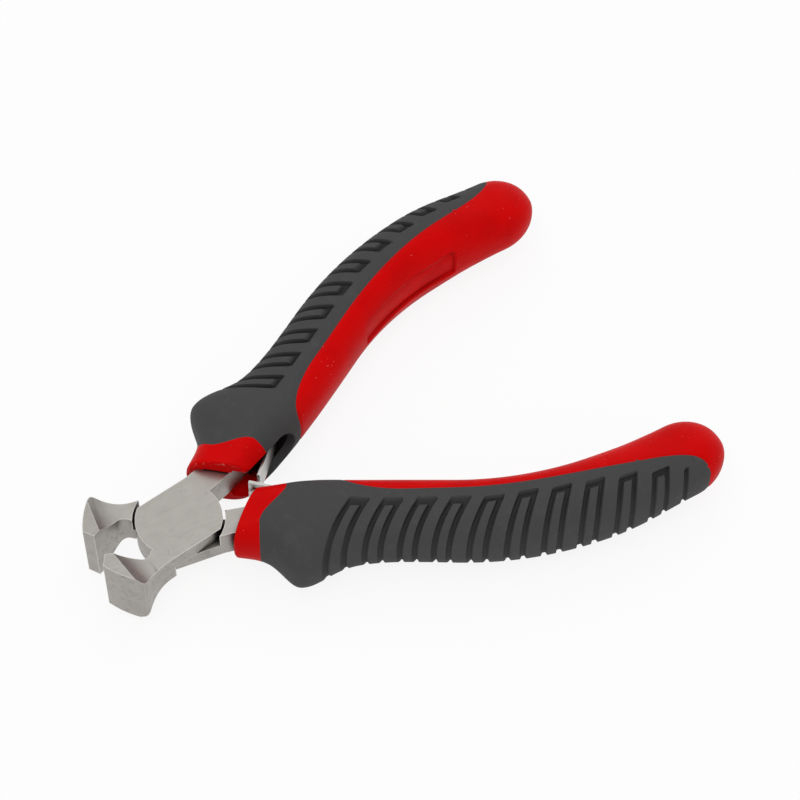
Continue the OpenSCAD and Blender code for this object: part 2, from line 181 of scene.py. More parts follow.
@dataclass(frozen=True)
class HandleForm:
    """The moulded handle: a square-round section swept along a line with one bend, in millimetres."""

    axis_x: float = 11.8
    axis_y: float = 5.6
    axis_dir: float = 30.0
    straight: float = 38.0
    bend_r: float = 73.0
    bend_turn: float = 30.0
    length: float = 93.05
    half_width: float = 7.87
    half_height: float = 6.86
    squareness: float = 2.4
    collar_taper: float = 2.7
    collar_flare: float = 0.8
    stop_out: float = 4.9
    stop_at: float = 9.6
    stop_up: float = 1.6
    palm_up: float = 2.0
    palm_in: float = 1.0
    palm_at: float = 60.0
    tail: float = 9.0
    tail_thin: float = 0.7
    waist_in: float = 0.7
    flank_in: float = 1.15
    taper_span: Span = (-6.0, 10.0)
    taper_up: float = 0.35
    flare_span: Span = (-3.0, 4.5)
    thin_from: float = 66.0
    palm_spread: Span = (22.0, 18.0)
    stop_spread: Span = (4.3, 6.4)
    swell_past: float = 2.0
    swell_spread: Span = (8.6, 6.4)
    waist_at: float = 29.0
    waist_spread: Span = (8.0, 16.0)
    flank_at: float = 7.5
    flank_spread: Span = (6.4, 9.0)

    @property
    def bend_length(self) -> float:
        """Length of the line's bend."""
        return self.bend_r * math.radians(self.bend_turn)

    def heading(self, s: Array) -> Array:
        """Angle of the line at a distance along it, in radians."""
        share = np.clip((s - self.straight) / self.bend_length, 0.0, 1.0)
        return np.radians(self.axis_dir - self.bend_turn * share)

    def point(self, s: Array, lat: Array, z: Array) -> Array:
        """Find points given along, across and above the handle's line.

        Args:
            s: Distances along the line from the collar.
            lat: Distances outwards from the line.
            z: Heights above the mid-plane.

        Returns:
            Rows of x, y, z in millimetres.
        """
        start, turned = math.radians(self.axis_dir), self.heading(s)
        run = np.minimum(s, self.straight)
        rest = np.maximum(s - self.straight - self.bend_length, 0.0)
        x = self.axis_x + run * math.cos(start) + self.bend_r * (math.sin(start) - np.sin(turned))
        y = self.axis_y + run * math.sin(start) + self.bend_r * (np.cos(turned) - math.cos(start))
        x = x + rest * np.cos(turned) - lat * np.sin(turned)
        y = y + rest * np.sin(turned) + lat * np.cos(turned)
        return np.stack(np.broadcast_arrays(x, y, z), axis=-1)

    def _waisted(self, s: Array) -> tuple[Array, Array, Array]:
        """Give the taper at the collar, the thinning at the tail and the palm swell.

        Args:
            s: Distances along the handle's line.

        Returns:
            How far each draws the skin in, and the swell's share.
        """
        taper = self.collar_taper * (1.0 - ease(*self.taper_span, s))
        thin = self.tail_thin * ease(self.thin_from, self.length - self.tail, s)
        return taper, thin, bump(s, self.palm_at, *self.palm_spread)

    def outer(self, s: Array) -> Array:
        """Half width towards the outer side, with the collar's flare, the thumb stop and the waist.

        Args:
            s: Distances along the handle's line.

        Returns:
            The half widths in millimetres.
        """
        taper, thin, palm = self._waisted(s)
        flare = self.collar_flare * (1.0 - ease(*self.flare_span, s))
        stop = self.stop_out * bump(s, self.stop_at, *self.stop_spread)
        waist = self.waist_in * bump(s, self.waist_at, *self.waist_spread)
        return self.half_width - taper - thin - self.palm_in * palm + flare + stop - waist

    def inner(self, s: Array) -> Array:
        """Half width towards the inner side, drawn in beside the spring slot.

        Args:
            s: Distances along the handle's line.

        Returns:
            The half widths in millimetres.
        """
        taper, thin, palm = self._waisted(s)
        flank = self.flank_in * bump(s, self.flank_at, *self.flank_spread)
        return self.half_width - taper - thin - self.palm_in * palm - flank

    def height(self, s: Array) -> Array:
        """Half height, with the thumb stop's and the palm's swells.

        Args:
            s: Distances along the handle's line.

        Returns:
            The half heights in millimetres.
        """
        taper, thin, palm = self._waisted(s)
        swell = self.stop_up * bump(s, self.stop_at + self.swell_past, *self.swell_spread)
        return self.half_height - self.taper_up * taper - thin + swell + self.palm_up * palm

    def section(self, s: Array, angle: Array, inset: Array) -> tuple[Array, Array]:
        """Find the section's skin.

        Args:
            s: Distances along the line.
            angle: Angles round the section, 0 at the outer side and a right angle on top.
            inset: Depths below the skin.

        Returns:
            Distances outwards from the line, and heights.
        """
        power = 2.0 / self.squareness
        c, w = np.cos(angle), np.sin(angle)
        reach = np.maximum(s - self.length + self.tail, 0.0) / (self.tail - inset)
        cap = np.sqrt(np.maximum(1.0 - reach**2, 0.0))
        width = np.where(c > 0.0, self.outer(s), self.inner(s)) - inset
        lat = np.sign(c) * np.abs(c) ** power * width * cap
        return lat, np.sign(w) * np.abs(w) ** power * (self.height(s) - inset) * cap


@dataclass(frozen=True)
class ColourEdge:
    """Edge of the soft grip on the handle's faces: a round inner corner, level, then a swept tongue."""

    over: float = 3.3
    sweep_from: float = 36.0
    tongue: float = 86.6
    sweep_power: float = 1.7
    tongue_power: float = 0.36
    tongue_out: float = 7.7
    inner_end: float = 16.8
    corner: float = 11.0
    corner_drop: float = 4.6
    corner_power: float = 1.5
    end_slope: float = 4.0

    def level(self, s: Array) -> Array:
        """Give how far outwards the edge lies, without its inner corner.

        Args:
            s: Distances along the handle's line.

        Returns:
            The edge's distances outwards from the line.
        """
        t = np.clip((s - self.sweep_from) / (self.tongue - self.sweep_from), 0.0, 1.0)
        sweep = 1.0 - (1.0 - t**self.sweep_power) ** self.tongue_power
        past = np.maximum(s - self.tongue, 0.0) * self.end_slope
        return (self.over + self.tongue_out) * sweep - self.over + past

    def field(self, s: Array, lat: Array, z: Array) -> Array:
        """Give a value that is positive on the soft grip and 0 on its edge.

        Args:
            s: Distances along the handle's line.
            lat: Distances outwards from it.
            z: Heights above the mid-plane.

        Returns:
            The values, in millimetres across the edge.
        """
        along = (s - self.inner_end) / self.corner
        drop = self.corner_drop * (1.0 - np.sqrt(np.clip(along, 0.0, 1.0))) ** self.corner_power
        before = np.maximum(self.inner_end - s, 0.0) * self.end_slope
        return lat - self.level(s) + drop + before


@dataclass(frozen=True)
class Channels:
    """Channels of the soft grip: two legs and a head each, leaning forwards as they go out."""

    edge: ColourEdge
    first: float = 18.5
    pitch: float = 6.27
    count: int = 10
    width: float = 4.0
    leg: float = 1.25
    deep: float = 0.9
    run_out: float = 0.6
    run_out_span: Span = (3.5, 7.5)
    lean: float = 0.6
    lean_ease: float = 0.0145
    lean_end: float = 16.0
    margin: float = 2.6
    reach: float = 30.0
    corner: float = 0.3

    def depth(self, lat: Array) -> Array:
        """Give the channels' depth, which runs out towards the outer side."""
        return self.deep * (1.0 - self.run_out * ease(*self.run_out_span, lat))

    def _places(self) -> list[tuple[float, float]]:
        """List each channel's start along the handle and its width. The last is a single leg."""
        starts = [self.first + k * self.pitch for k in range(self.count + 1)]
        return [(s, self.width) for s in starts[:-1]] + [(starts[-1], self.leg)]

    @property
    def end(self) -> float:
        """Place where the last channel ends, on its head."""
        start, width = self._places()[-1]
        return start + width

    def legs(self) -> list[tuple[float, float]]:
        """List both sides of every leg, as places along the handle on the channels' heads.

        Returns:
            The front and back of each leg.
        """
        sides = []
        for start, width in self._places():
            sides.append((start, start + self.leg))
            if width > self.leg:
                sides.append((start + width - self.leg, start + width))
        return sides

    def _lean_by(self, out: Array) -> Array:
        """Give how far forwards a leg leans at a distance out from its head."""
        run = np.clip(out, 0.0, self.lean_end)
        return self.lean * run - self.lean_ease * run**2

    def _head(self, start: float, width: float) -> float:
        """Give how far outwards the colour edge lies at a channel's middle."""
        return float(self.edge.level(np.array(start + width / 2.0)))

    def slant(self, along: Array, lat: Array) -> Array:
        """Give how far forwards the pattern leans at a place: constant over each channel's width.

        Args:
            along: Places along the handle, measured on the channels' heads.
            lat: Distances outwards from the handle's line.

        Returns:
            The distances by which such points lie before their heads.
        """
        knots, heads = [], []
        for start, width in self._places():
            knots += [start, start + width]
            heads += [self._head(start, width)] * 2
        return self._lean_by(lat - np.interp(along, knots, heads) - self.margin)

    def _bar(self, along: Array, out: Array, middle: float, half: float, deep: float) -> Array:
        """Measure the distance to one bar that starts at the channel's head."""
        return rounded_box(along - middle, out - deep / 2.0, half, deep / 2.0, self.corner)

    def field(self, s: Array, lat: Array, z: Array) -> Array:
        """Measure the distance to the nearest channel's lip, negative inside.

        Args:
            s: Distances along the handle's line.
            lat: Distances outwards from it.
            z: Heights above the mid-plane.

        Returns:
            The distances, at most the far one.
        """
        nearest, half = np.full(np.shape(s), FAR), self.leg / 2.0
        for start, width in self._places():
            out = lat - self._head(start, width) - self.margin
            along = s + self._lean_by(out) - start
            bars = [(half, half, self.reach)]
            if width > self.leg:
                bars += [(width - half, half, self.reach), (width / 2.0, width / 2.0, self.leg)]
            for bar in bars:
                nearest = np.minimum(nearest, self._bar(along, out, *bar))
        return nearest


@dataclass(frozen=True)
class SpringSlot:
    """Round-ended slot on the inner side, which the leaf spring comes out of."""

    half: float = 4.25
    end: float = 14.8
    round: float = 4.2
    floor: float = -2.2

    def field(self, s: Array, lat: Array, z: Array) -> Array:
        """Give a value that is negative in the slot and 0 on its edge.

        Args:
            s: Distances along the handle's line.
            lat: Distances outwards from it.
            z: Heights above the mid-plane.

        Returns:
            The values, and the far one on the outer side.
        """
        past = np.maximum(s - self.end + self.round, 0.0) / self.round
        ring = (np.sqrt(past**2 + (z / self.half) ** 2) - 1.0) * self.half
        return np.where(lat < self.floor, ring, FAR)


@dataclass(frozen=True)
class BarePanel:
    """Bare shallow panel on the handle's inner side."""

    start: float = 42.5
    length: float = 28.7
    half: float = 3.3
    up: float = 0.9
    deep: float = 0.66
    wall: float = 0.4
    corner: float = 0.9
    inner_side: float = -1.0

    def field(self, s: Array, lat: Array, z: Array) -> Array:
        """Measure the distance to the panel's lip, negative inside.

        Args:
            s: Distances along the handle's line.
            lat: Distances outwards from it.
            z: Heights above the mid-plane.

        Returns:
            The distances, and the far one on the outer side.
        """
        along = s - self.start - self.length / 2.0
        box = rounded_box(along, z - self.up, self.length / 2.0, self.half, self.corner)
        return np.where(lat < self.inner_side, box, FAR)


class Level(IntEnum):
    """Depths at which the sleeve's skin lies, from the outside in."""

    SKIN = 0
    MOUTH = 1
    SEAT = 2
    TRENCH = 3


class Zone(IntEnum):
    """What a face of the handle's skin belongs to."""

    SLEEVE = 0
    GRIP = 1
    SLOT = 2


@dataclass
class Shell:
    """A mesh in the making: points in millimetres, faces, and one number a point for each named mask."""

    points: list[Array] = field(default_factory=list)
    faces: list[tuple[int, ...]] = field(default_factory=list)
    masks: dict[str, list[Array]] = field(default_factory=dict)
    count: int = 0
    sharp: float = 42.0
    merge: float = 0.002
    thinnest: float = 0.001

    def add(self, points: Array, **masks: Array) -> int:
        """Add points.

        Args:
            points: Rows of x, y, z.
            masks: Numbers for each point, under the mask's name.

        Returns:
            The index of the first added point.
        """
        first = self.count
        self.points.append(points)
        for name, values in masks.items():
            self.masks.setdefault(name, []).append(np.asarray(values, float))
        self.count += len(points)
        return first

    def add_faces(self, corners: Array) -> None:
        """Add faces given as rows of point indices."""
        self.faces.extend(map(tuple, corners.tolist()))

    def build(self, name: str, side: Side, material: bpy.types.Material) -> bpy.types.Object:
        """Make the object.

        Args:
            name: The object's name.
            side: The arm that it belongs to.
            material: Its finish.

        Returns:
            The new object, with merged points and smooth shading.
        """
        mesh = bpy.data.meshes.new(name)
        mesh.from_pydata(side.place(np.concatenate(self.points)).tolist(), [], self.faces)
        for mask, values in self.masks.items():
            layer = mesh.attributes.new(mask, "FLOAT", "POINT")
            layer.data.foreach_set("value", np.concatenate(values).astype(np.float32))
        with editing(mesh) as work:
            bmesh.ops.remove_doubles(work, verts=work.verts, dist=self.merge * MM)
            bmesh.ops.dissolve_degenerate(work, edges=work.edges, dist=self.thinnest * MM)
        mesh.set_sharp_from_angle(angle=math.radians(self.sharp))
        mesh.materials.append(material)
        return add_object(name, mesh)


def rim_of(faces: Array) -> Array:
    """Find the directed edges that only one face has.

    Args:
        faces: Rows of three point indices.

    Returns:
        Rows of the first and last point of each such edge, in its face's direction.
    """
    edges = np.concatenate([faces[:, [0, 1]], faces[:, [1, 2]], faces[:, [2, 0]]])
    own = {(int(a), int(b)) for a, b in edges}
    return np.array([(a, b) for a, b in own if (b, a) not in own], int).reshape(-1, 2)


def shell_faces(shell: Shell, faces: Array, outside: int, inside: int) -> None:
    """Close a sheet of faces into a shell.

    Args:
        shell: The mesh that takes the faces.
        faces: Rows of three indices within the sheet.
        outside: Index of the sheet's first outer point.
        inside: Index of the sheet's first inner point.
    """
    shell.add_faces(faces + outside)
    shell.add_faces(faces[:, ::-1] + inside)
    rim = rim_of(faces)
    walls = [rim[:, 1] + outside, rim[:, 0] + outside, rim[:, 0] + inside, rim[:, 1] + inside]
    shell.add_faces(np.stack(walls, axis=1))


@dataclass
class HandleSkin:
    """A grid over the handle's skin, drawn to the lines of the colour edge, channels, slot and panel."""

    form: HandleForm = field(default_factory=HandleForm)
    edge: ColourEdge = field(default_factory=ColourEdge)
    slot: SpringSlot = field(default_factory=SpringSlot)
    panel: BarePanel = field(default_factory=BarePanel)
    columns: int = 120
    first_angle: float = 0.0131
    row_step: float = 0.4
    lip_rows: tuple[float, ...] = (0.0, 0.04, 0.12, 0.25, 0.4)
    tail_rows: int = 24
    settle_turns: int = 10
    draw_turns: int = 4
    probe: float = 0.02
    angle_probe: float = 0.01
    near_cells: float = 0.5
    stray_cells: float = 0.7
    off_line: float = 1e-6
    least_radius: float = 0.05
    mouth: float = -0.6
    mouth_lean: float = 0.357
    mouth_deep: float = 3.6
    mouth_wall: float = 1.35
    mouth_round: float = 0.55
    hollow_half: float = 3.45
    hollow_out: float = 2.95
    grip_start: float = 4.5
    grip_skew: float = 2.4
    grip_turn: float = 3.7
    skew_end: float = 14.0
    slant_from: float = 7.5
    slant_end: float = 91.0
    skin: float = 1.7
    skin_fit: float = 0.03
    seam_deep: float = 0.12
    seam_half: float = 0.3
    wall_run: float = 0.28

    def __post_init__(self) -> None:
        """Lay the grid and draw it to the lines."""
        self.channels = Channels(self.edge)
        form = self.form
        tail_from = form.length - form.tail
        round_tail = np.sin(np.linspace(0.0, math.pi / 2.0, self.tail_rows + 1)[1:])
        stretches = [
            self.mouth + np.array(self.lip_rows),
            self._rows(self.mouth + self.mouth_round, self.mouth_deep),
            self._ribbed_rows(self.grip_start, tail_from),
            tail_from + form.tail * round_tail,
        ]
        rows = np.concatenate(stretches)
        self.floor_row = len(stretches[0]) + len(stretches[1]) - 1
        self.grip_row = self.floor_row + 1
        self.column_turn = 2.0 * math.pi / self.columns
        angles = np.arange(self.columns) * self.column_turn + self.first_angle
        self.sigma, self.angle = (a.copy() for a in np.meshgrid(rows, angles, indexing="ij"))
        self.fields: dict[str, Array] = {}
        steps = np.gradient(rows)
        self.row_cell = np.repeat(steps[:, None], self.columns, axis=1)
        self.held = np.isin(np.arange(len(rows)), [0, self.floor_row, self.grip_row, len(rows) - 1])
        for name in ("edge", "slot", "panel"):
            self._draw_to(name, getattr(self, name).field, 0.0)
        self._draw_to("channel", self.channels.field, 0.0)
        self._draw_to("channel_foot", self.channels.field, -self.wall_run)
        self.s, self.lat, self.z = self.locate(self.sigma, self.angle)
        self.faces, self.zones, self.face_rows = self._cut()

    def _rows(self, start: float, end: float) -> Array:
        """Space rows evenly from start to end, both included."""
        return np.linspace(start, end, max(2, round((end - start) / self.row_step) + 1))

    def _ribbed_rows(self, start: float, end: float) -> Array:
        """Space rows from start to end, with one on the lip and one on the foot of each channel's leg.

        Args:
            start: The first row's place.
            end: The last row's place.

        Returns:
            The rows' places along the handle.
        """
        marks = [start]
        for front, back in self.channels.legs():
            marks += [front, front + self.wall_run, back - self.wall_run, back]
        marks.append(end)
        spans = [self._rows(a, b)[:-1] for a, b in zip(marks[:-1], marks[1:])]
        return np.concatenate(spans + [[end]])

    def _shift(self, sigma: Array, lat: Array) -> Array:
        """Give how far a row is shifted along the handle.

        Args:
            sigma: Rows, as distances along the handle's middle.
            lat: Distances outwards from the handle's line.

        Returns:
            The shifts: leaning at the mouth, turned where the soft grip starts, then along the channels.
        """
        share = np.clip((sigma - self.mouth) / (self.grip_start - self.mouth), 0.0, 1.0)
        skew = self.grip_skew * (1.0 - 2.0 * ease(-self.grip_turn, self.grip_turn, lat))
        fade = share * (1.0 - ease(self.grip_start, self.skew_end, sigma))
        ribbed = ease(self.slant_from, self.channels.first, sigma)
        ribbed = ribbed * (1.0 - ease(self.channels.end, self.slant_end, sigma))
        slant = self.channels.slant(sigma, lat) * ribbed
        return skew * fade - self.mouth_lean * lat * (1.0 - share) - slant

    def locate(self, sigma: Array, angle: Array) -> tuple[Array, Array, Array]:
        """Find where points of the grid lie.

        Args:
            sigma: Rows, as distances along the handle's middle.
            angle: Angles round the section.

        Returns:
            Distances along and outwards from the handle's line, and heights.
        """
        s = sigma
        for _ in range(self.settle_turns):
            lat, z = self.form.section(s, angle, 0.0)
            s = sigma + self._shift(sigma, lat)
        lat, z = self.form.section(s, angle, 0.0)
        return s, lat, z

    def _draw_to(self, name: str, line: Field, at: float) -> None:
        """Move the grid's nearest points on to a line.

        Args:
            name: The line's name, under which the grid's values are kept.
            line: The field whose level is the line.
            at: The level.
        """
        taken = sum((np.abs(v) < TINY for v in self.fields.values()), np.zeros(self.sigma.shape, bool))
        old_sigma, old_angle, step = self.sigma, self.angle, self.probe
        for turn in range(self.draw_turns):
            across = self._millimetres_a_radian()
            value = line(*self.locate(self.sigma, self.angle)) - at
            ahead = line(*self.locate(self.sigma + step, self.angle))
            behind = line(*self.locate(self.sigma - step, self.angle))
            along = np.where(self.held[:, None], 0.0, (ahead - behind) / (2.0 * step))
            left = line(*self.locate(self.sigma, self.angle + step / across))
            right = line(*self.locate(self.sigma, self.angle - step / across))
            round_ = (left - right) / (2.0 * step)
            steep = np.maximum(along**2 + round_**2, TINY)
            move_s, move_a = -value * along / steep, -value * round_ / steep
            if turn == 0:
                cells = np.abs(move_s) / self.row_cell, np.abs(move_a) / (across * self.column_turn)
                kept, drawn = value, (np.maximum(*cells) <= self.near_cells) & ~taken
            self.sigma = np.where(drawn, self.sigma + move_s, self.sigma)
            self.angle = np.where(drawn, self.angle + move_a / across, self.angle)
        strayed = np.abs(self.sigma - old_sigma) > self.stray_cells * self.row_cell
        strayed |= np.abs(self.angle - old_angle) > self.stray_cells * self.column_turn
        drawn &= ~strayed
        self.sigma = np.where(drawn, self.sigma, old_sigma)
        self.angle = np.where(drawn, self.angle, old_angle)
        beside = np.where(np.abs(kept) < self.off_line, self.off_line, kept)
        self.fields[name] = np.where(drawn, 0.0, beside)

    def _millimetres_a_radian(self) -> Array:
        """Measure how far a point goes round the section for each radian.

        Returns:
            The lengths, one for each point of the grid.
        """
        step = self.angle_probe
        _, lat_a, z_a = self.locate(self.sigma, self.angle - step)
        _, lat_b, z_b = self.locate(self.sigma, self.angle + step)
        return np.maximum(np.hypot(lat_b - lat_a, z_b - z_a) / (2.0 * step), self.least_radius)

    def _cut(self) -> tuple[Array, Array, Array]:
        """Cut the grid into triangles that no line crosses.

        Returns:
            Rows of three point indices, each triangle's zone, and its row in the grid.
        """
        rows, columns = self.sigma.shape
        j, i = (a.ravel() for a in np.meshgrid(np.arange(rows - 1), np.arange(columns), indexing="ij"))
        n = (i + 1) % columns
        a, b, c, d = j * columns + i, j * columns + n, (j + 1) * columns + n, (j + 1) * columns + i
        turned = np.zeros(len(a), bool)
        for name in ("edge", "slot", "panel", "channel"):
            value = self.fields[name].ravel()
            turned |= value[a] * value[c] < 0.0
        first = np.where(turned[:, None], np.stack([a, b, d], 1), np.stack([a, b, c], 1))
        second = np.where(turned[:, None], np.stack([b, c, d], 1), np.stack([a, c, d], 1))
        faces = np.concatenate([first, second])
        face_rows = np.concatenate([j, j])
        edge, slot = (self.fields[name].ravel()[faces].sum(axis=1) for name in ("edge", "slot"))
        zones = np.where((edge > 0.0) & (face_rows >= self.grip_row), Zone.GRIP, Zone.SLEEVE)
        return faces, np.where(slot < 0.0, Zone.SLOT, zones), face_rows

    def at(self, inset: Union[float, Array]) -> Array:
        """Find the grid's points at a depth below the skin, as rows of x, y, z."""
        lat, z = self.form.section(self.s, self.angle, inset)
        return self.form.point(self.s, lat, z).reshape(-1, 3)

    def lining(self) -> Array:
        """Find the walls of the mouth's hollow: close round the tang, and flush with the slot beside it.

        Returns:
            Rows of x, y, z, one for each point of the grid.
        """
        lat, z = self.form.section(self.s, self.angle, self.mouth_wall)
        over = np.clip(z, -self.hollow_half, self.hollow_half)
        z = np.where(lat < self.slot.floor, np.sign(z) * self.slot.half, over)
        lat = np.minimum(lat, self.hollow_out)
        return self.form.point(self.sigma + self._shift(self.sigma, lat), lat, z).reshape(-1, 3)

    def seam(self) -> Array:
        """Give the depth of the fine groove along the colour edge."""
        return self.seam_deep * np.exp(-((self.fields["edge"] / self.seam_half) ** 2))

    def channel_share(self) -> Array:
        """Give how deep each point lies in a channel, from 0 at the skin to 1 on the floor.

        Returns:
            The shares, one for each point of the grid.
        """
        inside = -self.fields["channel"]
        foot = self.fields["channel_foot"] == 0.0
        return np.where(foot, 1.0, ease(0.0, self.wall_run, inside))

    def lip(self) -> Array:
        """Give the depth by which the mouth's rim is rounded off."""
        rest = np.clip(1.0 - (self.sigma - self.mouth) / self.mouth_round, 0.0, 1.0)
        return self.mouth_round * (1.0 - np.sqrt(1.0 - rest**2))


@dataclass
class Handle:
    """One dressed handle: the moulded sleeve and the soft grip on it."""

    side: Side
    skin: HandleSkin
    sleeve_finish: bpy.types.Material
    grip_finish: bpy.types.Material
    shut: float = 15.4
    shut_room: float = 0.04
    rim_fade: float = 0.6
    apart: float = 1e-4

    def grip(self) -> bpy.types.Object:
        """Build the soft grip with its channels as a closed skin on the sleeve.

        Returns:
            The grip's object, riding on its arm.
        """
        skin, shell = self.skin, Shell()
        share = skin.channel_share()
        outer = skin.at(skin.channels.depth(skin.lat) * share + skin.seam())
        used, faces = compact(skin.faces[skin.zones == Zone.GRIP])
        # Each point's depth share in its channel goes with it as the groove mask, which paints shade in the
        # channels.
        both, groove = (outer, skin.at(skin.skin)), share.ravel()[used]
        shell_faces(shell, faces, *(shell.add(points[used], groove=groove) for points in both))
        piece = shell.build(f"{self.side.value}_soft_grip", self.side, self.grip_finish)
        return self._fit(piece, "grip")

    def sleeve(self) -> bpy.types.Object:
        """Build the moulded sleeve: collar, mouth, spring slot, the seat under the grip, panel and tail.

        Returns:
            The sleeve's object, riding on its arm.
        """
        skin, shell = self.skin, Shell()
        levels = self._levels(shell)
        faces, zones, rows = skin.faces, skin.zones, skin.face_rows
        deep = np.array([Level.SKIN, Level.SEAT, Level.TRENCH])[zones]
        is_open = (zones == Zone.SLOT) & (rows < skin.floor_row)
        for level in (Level.SKIN, Level.SEAT, Level.TRENCH):
            shell.add_faces(faces[(deep == level) & ~is_open] + levels[level])
        lining = faces[(zones != Zone.SLOT) & (rows < skin.floor_row)]
        shell.add_faces(lining[:, ::-1] + levels[Level.MOUTH])
        self._walls(shell, levels, np.where(is_open, Level.MOUTH, deep), is_open)
        self._mouth_floor(shell, levels)
        piece = shell.build(f"{self.side.value}_moulded_sleeve", self.side, self.sleeve_finish)
        return self._fit(piece, "sleeve")

    def _levels(self, shell: Shell) -> dict[Level, int]:
        """Add the sleeve's points at each depth.

        Args:
            shell: The mesh that takes the points.

        Returns:
            The index of the first point at each level.
        """
        skin = self.skin
        panel = skin.panel.deep * ease(0.0, skin.panel.wall, -skin.fields["panel"])
        trench = skin.form.point(skin.s, np.full(skin.s.shape, skin.slot.floor), skin.z).reshape(-1, 3)
        places = {
            Level.SKIN: self._clear_of_twin(skin.at(panel + skin.seam() + skin.lip())),
            Level.MOUTH: skin.lining(),
            Level.SEAT: skin.at(skin.skin + skin.skin_fit),
            Level.TRENCH: trench,
        }
        seam = np.exp(-np.abs(skin.fields["edge"])).ravel()
        rim = np.exp(-np.abs(skin.sigma - skin.mouth) / self.rim_fade).ravel()
        # The lip mask is a band along the panel's wall, which the plastic paints darker as shade.
        lip = np.exp(-np.abs(skin.fields["panel"] + skin.panel.wall) / skin.panel.wall).ravel()
        firsts = {}
        for level, points in places.items():
            under, outer = np.full(len(seam), float(level >= Level.SEAT)), rim * float(level == Level.SKIN)
            firsts[level] = shell.add(points, seam=seam, rim=outer, lip=lip, under=under)
        return firsts

    def _clear_of_twin(self, points: Array) -> Array:
        """Keep the outer skin on its own side of the plane where the shut handles meet.

        Args:
            points: The skin's points.

        Returns:
            The points, with those past the plane moved back to it.
        """
        half = math.radians(self.shut / 2.0)
        aside = np.array((-math.sin(half), math.cos(half), 0.0))
        short = np.clip(self.shut_room - points @ aside, 0.0, None)
        return points + short[:, None] * aside

    def _walls(self, shell: Shell, levels: dict[Level, int], deep: Array, is_open: Array) -> None:
        """Join the sleeve's levels along the edges where they meet.

        Args:
            shell: The mesh that takes the walls.
            levels: The index of the first point at each level.
            deep: Each face's level.
            is_open: Which faces are left out, in the open front of the slot.
        """
        skin = self.skin
        owner: dict[tuple[int, int], int] = {}
        present: dict[int, set[int]] = {}
        for f, corners in enumerate(skin.faces.tolist()):
            lined = skin.face_rows[f] < skin.floor_row
            for k in range(3):
                owner[(corners[k], corners[k - 2])] = f
                present.setdefault(corners[k], set()).add(int(deep[f]))
                if lined:
                    present[corners[k]].add(int(Level.MOUTH))
        for (u, v), f in owner.items():
            g = owner.get((v, u))
            if is_open[f] or (g is None and u >= skin.columns):
                continue
            other = Level.MOUTH if g is None else deep[g]
            if other <= deep[f]:
                continue
            down_u, down_v = ([k for k in sorted(present[p]) if deep[f] < k < other] for p in (u, v))
            ring = [(deep[f], v), (deep[f], u), *((k, u) for k in down_u), (other, u), (other, v)]
            ring += [(k, v) for k in reversed(down_v)]
            shell.faces.append(tuple(int(levels[Level(k)] + p) for k, p in ring))

    def _mouth_floor(self, shell: Shell, levels: dict[Level, int]) -> None:
        """Close the mouth's hollow at its floor, round the front of the slot's trench.

        Args:
            shell: The mesh that takes the floor.
            levels: The index of the first point at each level.
        """
        skin = self.skin
        first = skin.floor_row * skin.columns
        below = (skin.face_rows == skin.floor_row - 1) & (skin.zones == Zone.SLOT)
        slotted = {tuple(sorted(p for p in f if p >= first)) for f in skin.faces[below].tolist()}
        ring: list[int] = []
        for i in range(skin.columns - 1, -1, -1):
            here = first + i
            for step in (1, -1):
                pair = sorted((here, first + (i + step) % skin.columns))
                level = Level.TRENCH if tuple(pair) in slotted else Level.MOUTH
                if levels[level] + here not in ring[-1:]:
                    ring.append(levels[level] + here)
        places = np.concatenate(shell.points)
        ring = [p for k, p in enumerate(ring) if math.dist(places[p], places[ring[k - 1]]) > self.apart]
        points = places[ring]
        flat = [Vector((p[1], p[2], 0.0)) for p in points]
        for corners in tessellate_polygon([flat]):
            a, b, c = (points[k] for k in corners)
            order = corners if np.cross(b - a, c - a)[0] < 0.0 else corners[::-1]
            shell.faces.append(tuple(ring[k] for k in order))

    def _fit(self, piece: bpy.types.Object, kind: str) -> bpy.types.Object:
        """Let a piece stand for its CAD node and ride on its arm.

        Args:
            piece: The new piece.
            kind: What it is, as its node and slot name it.

        Returns:
            The piece.
        """
        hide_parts(f"{self.side.value}_{kind}")
        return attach(piece, self.side.body)


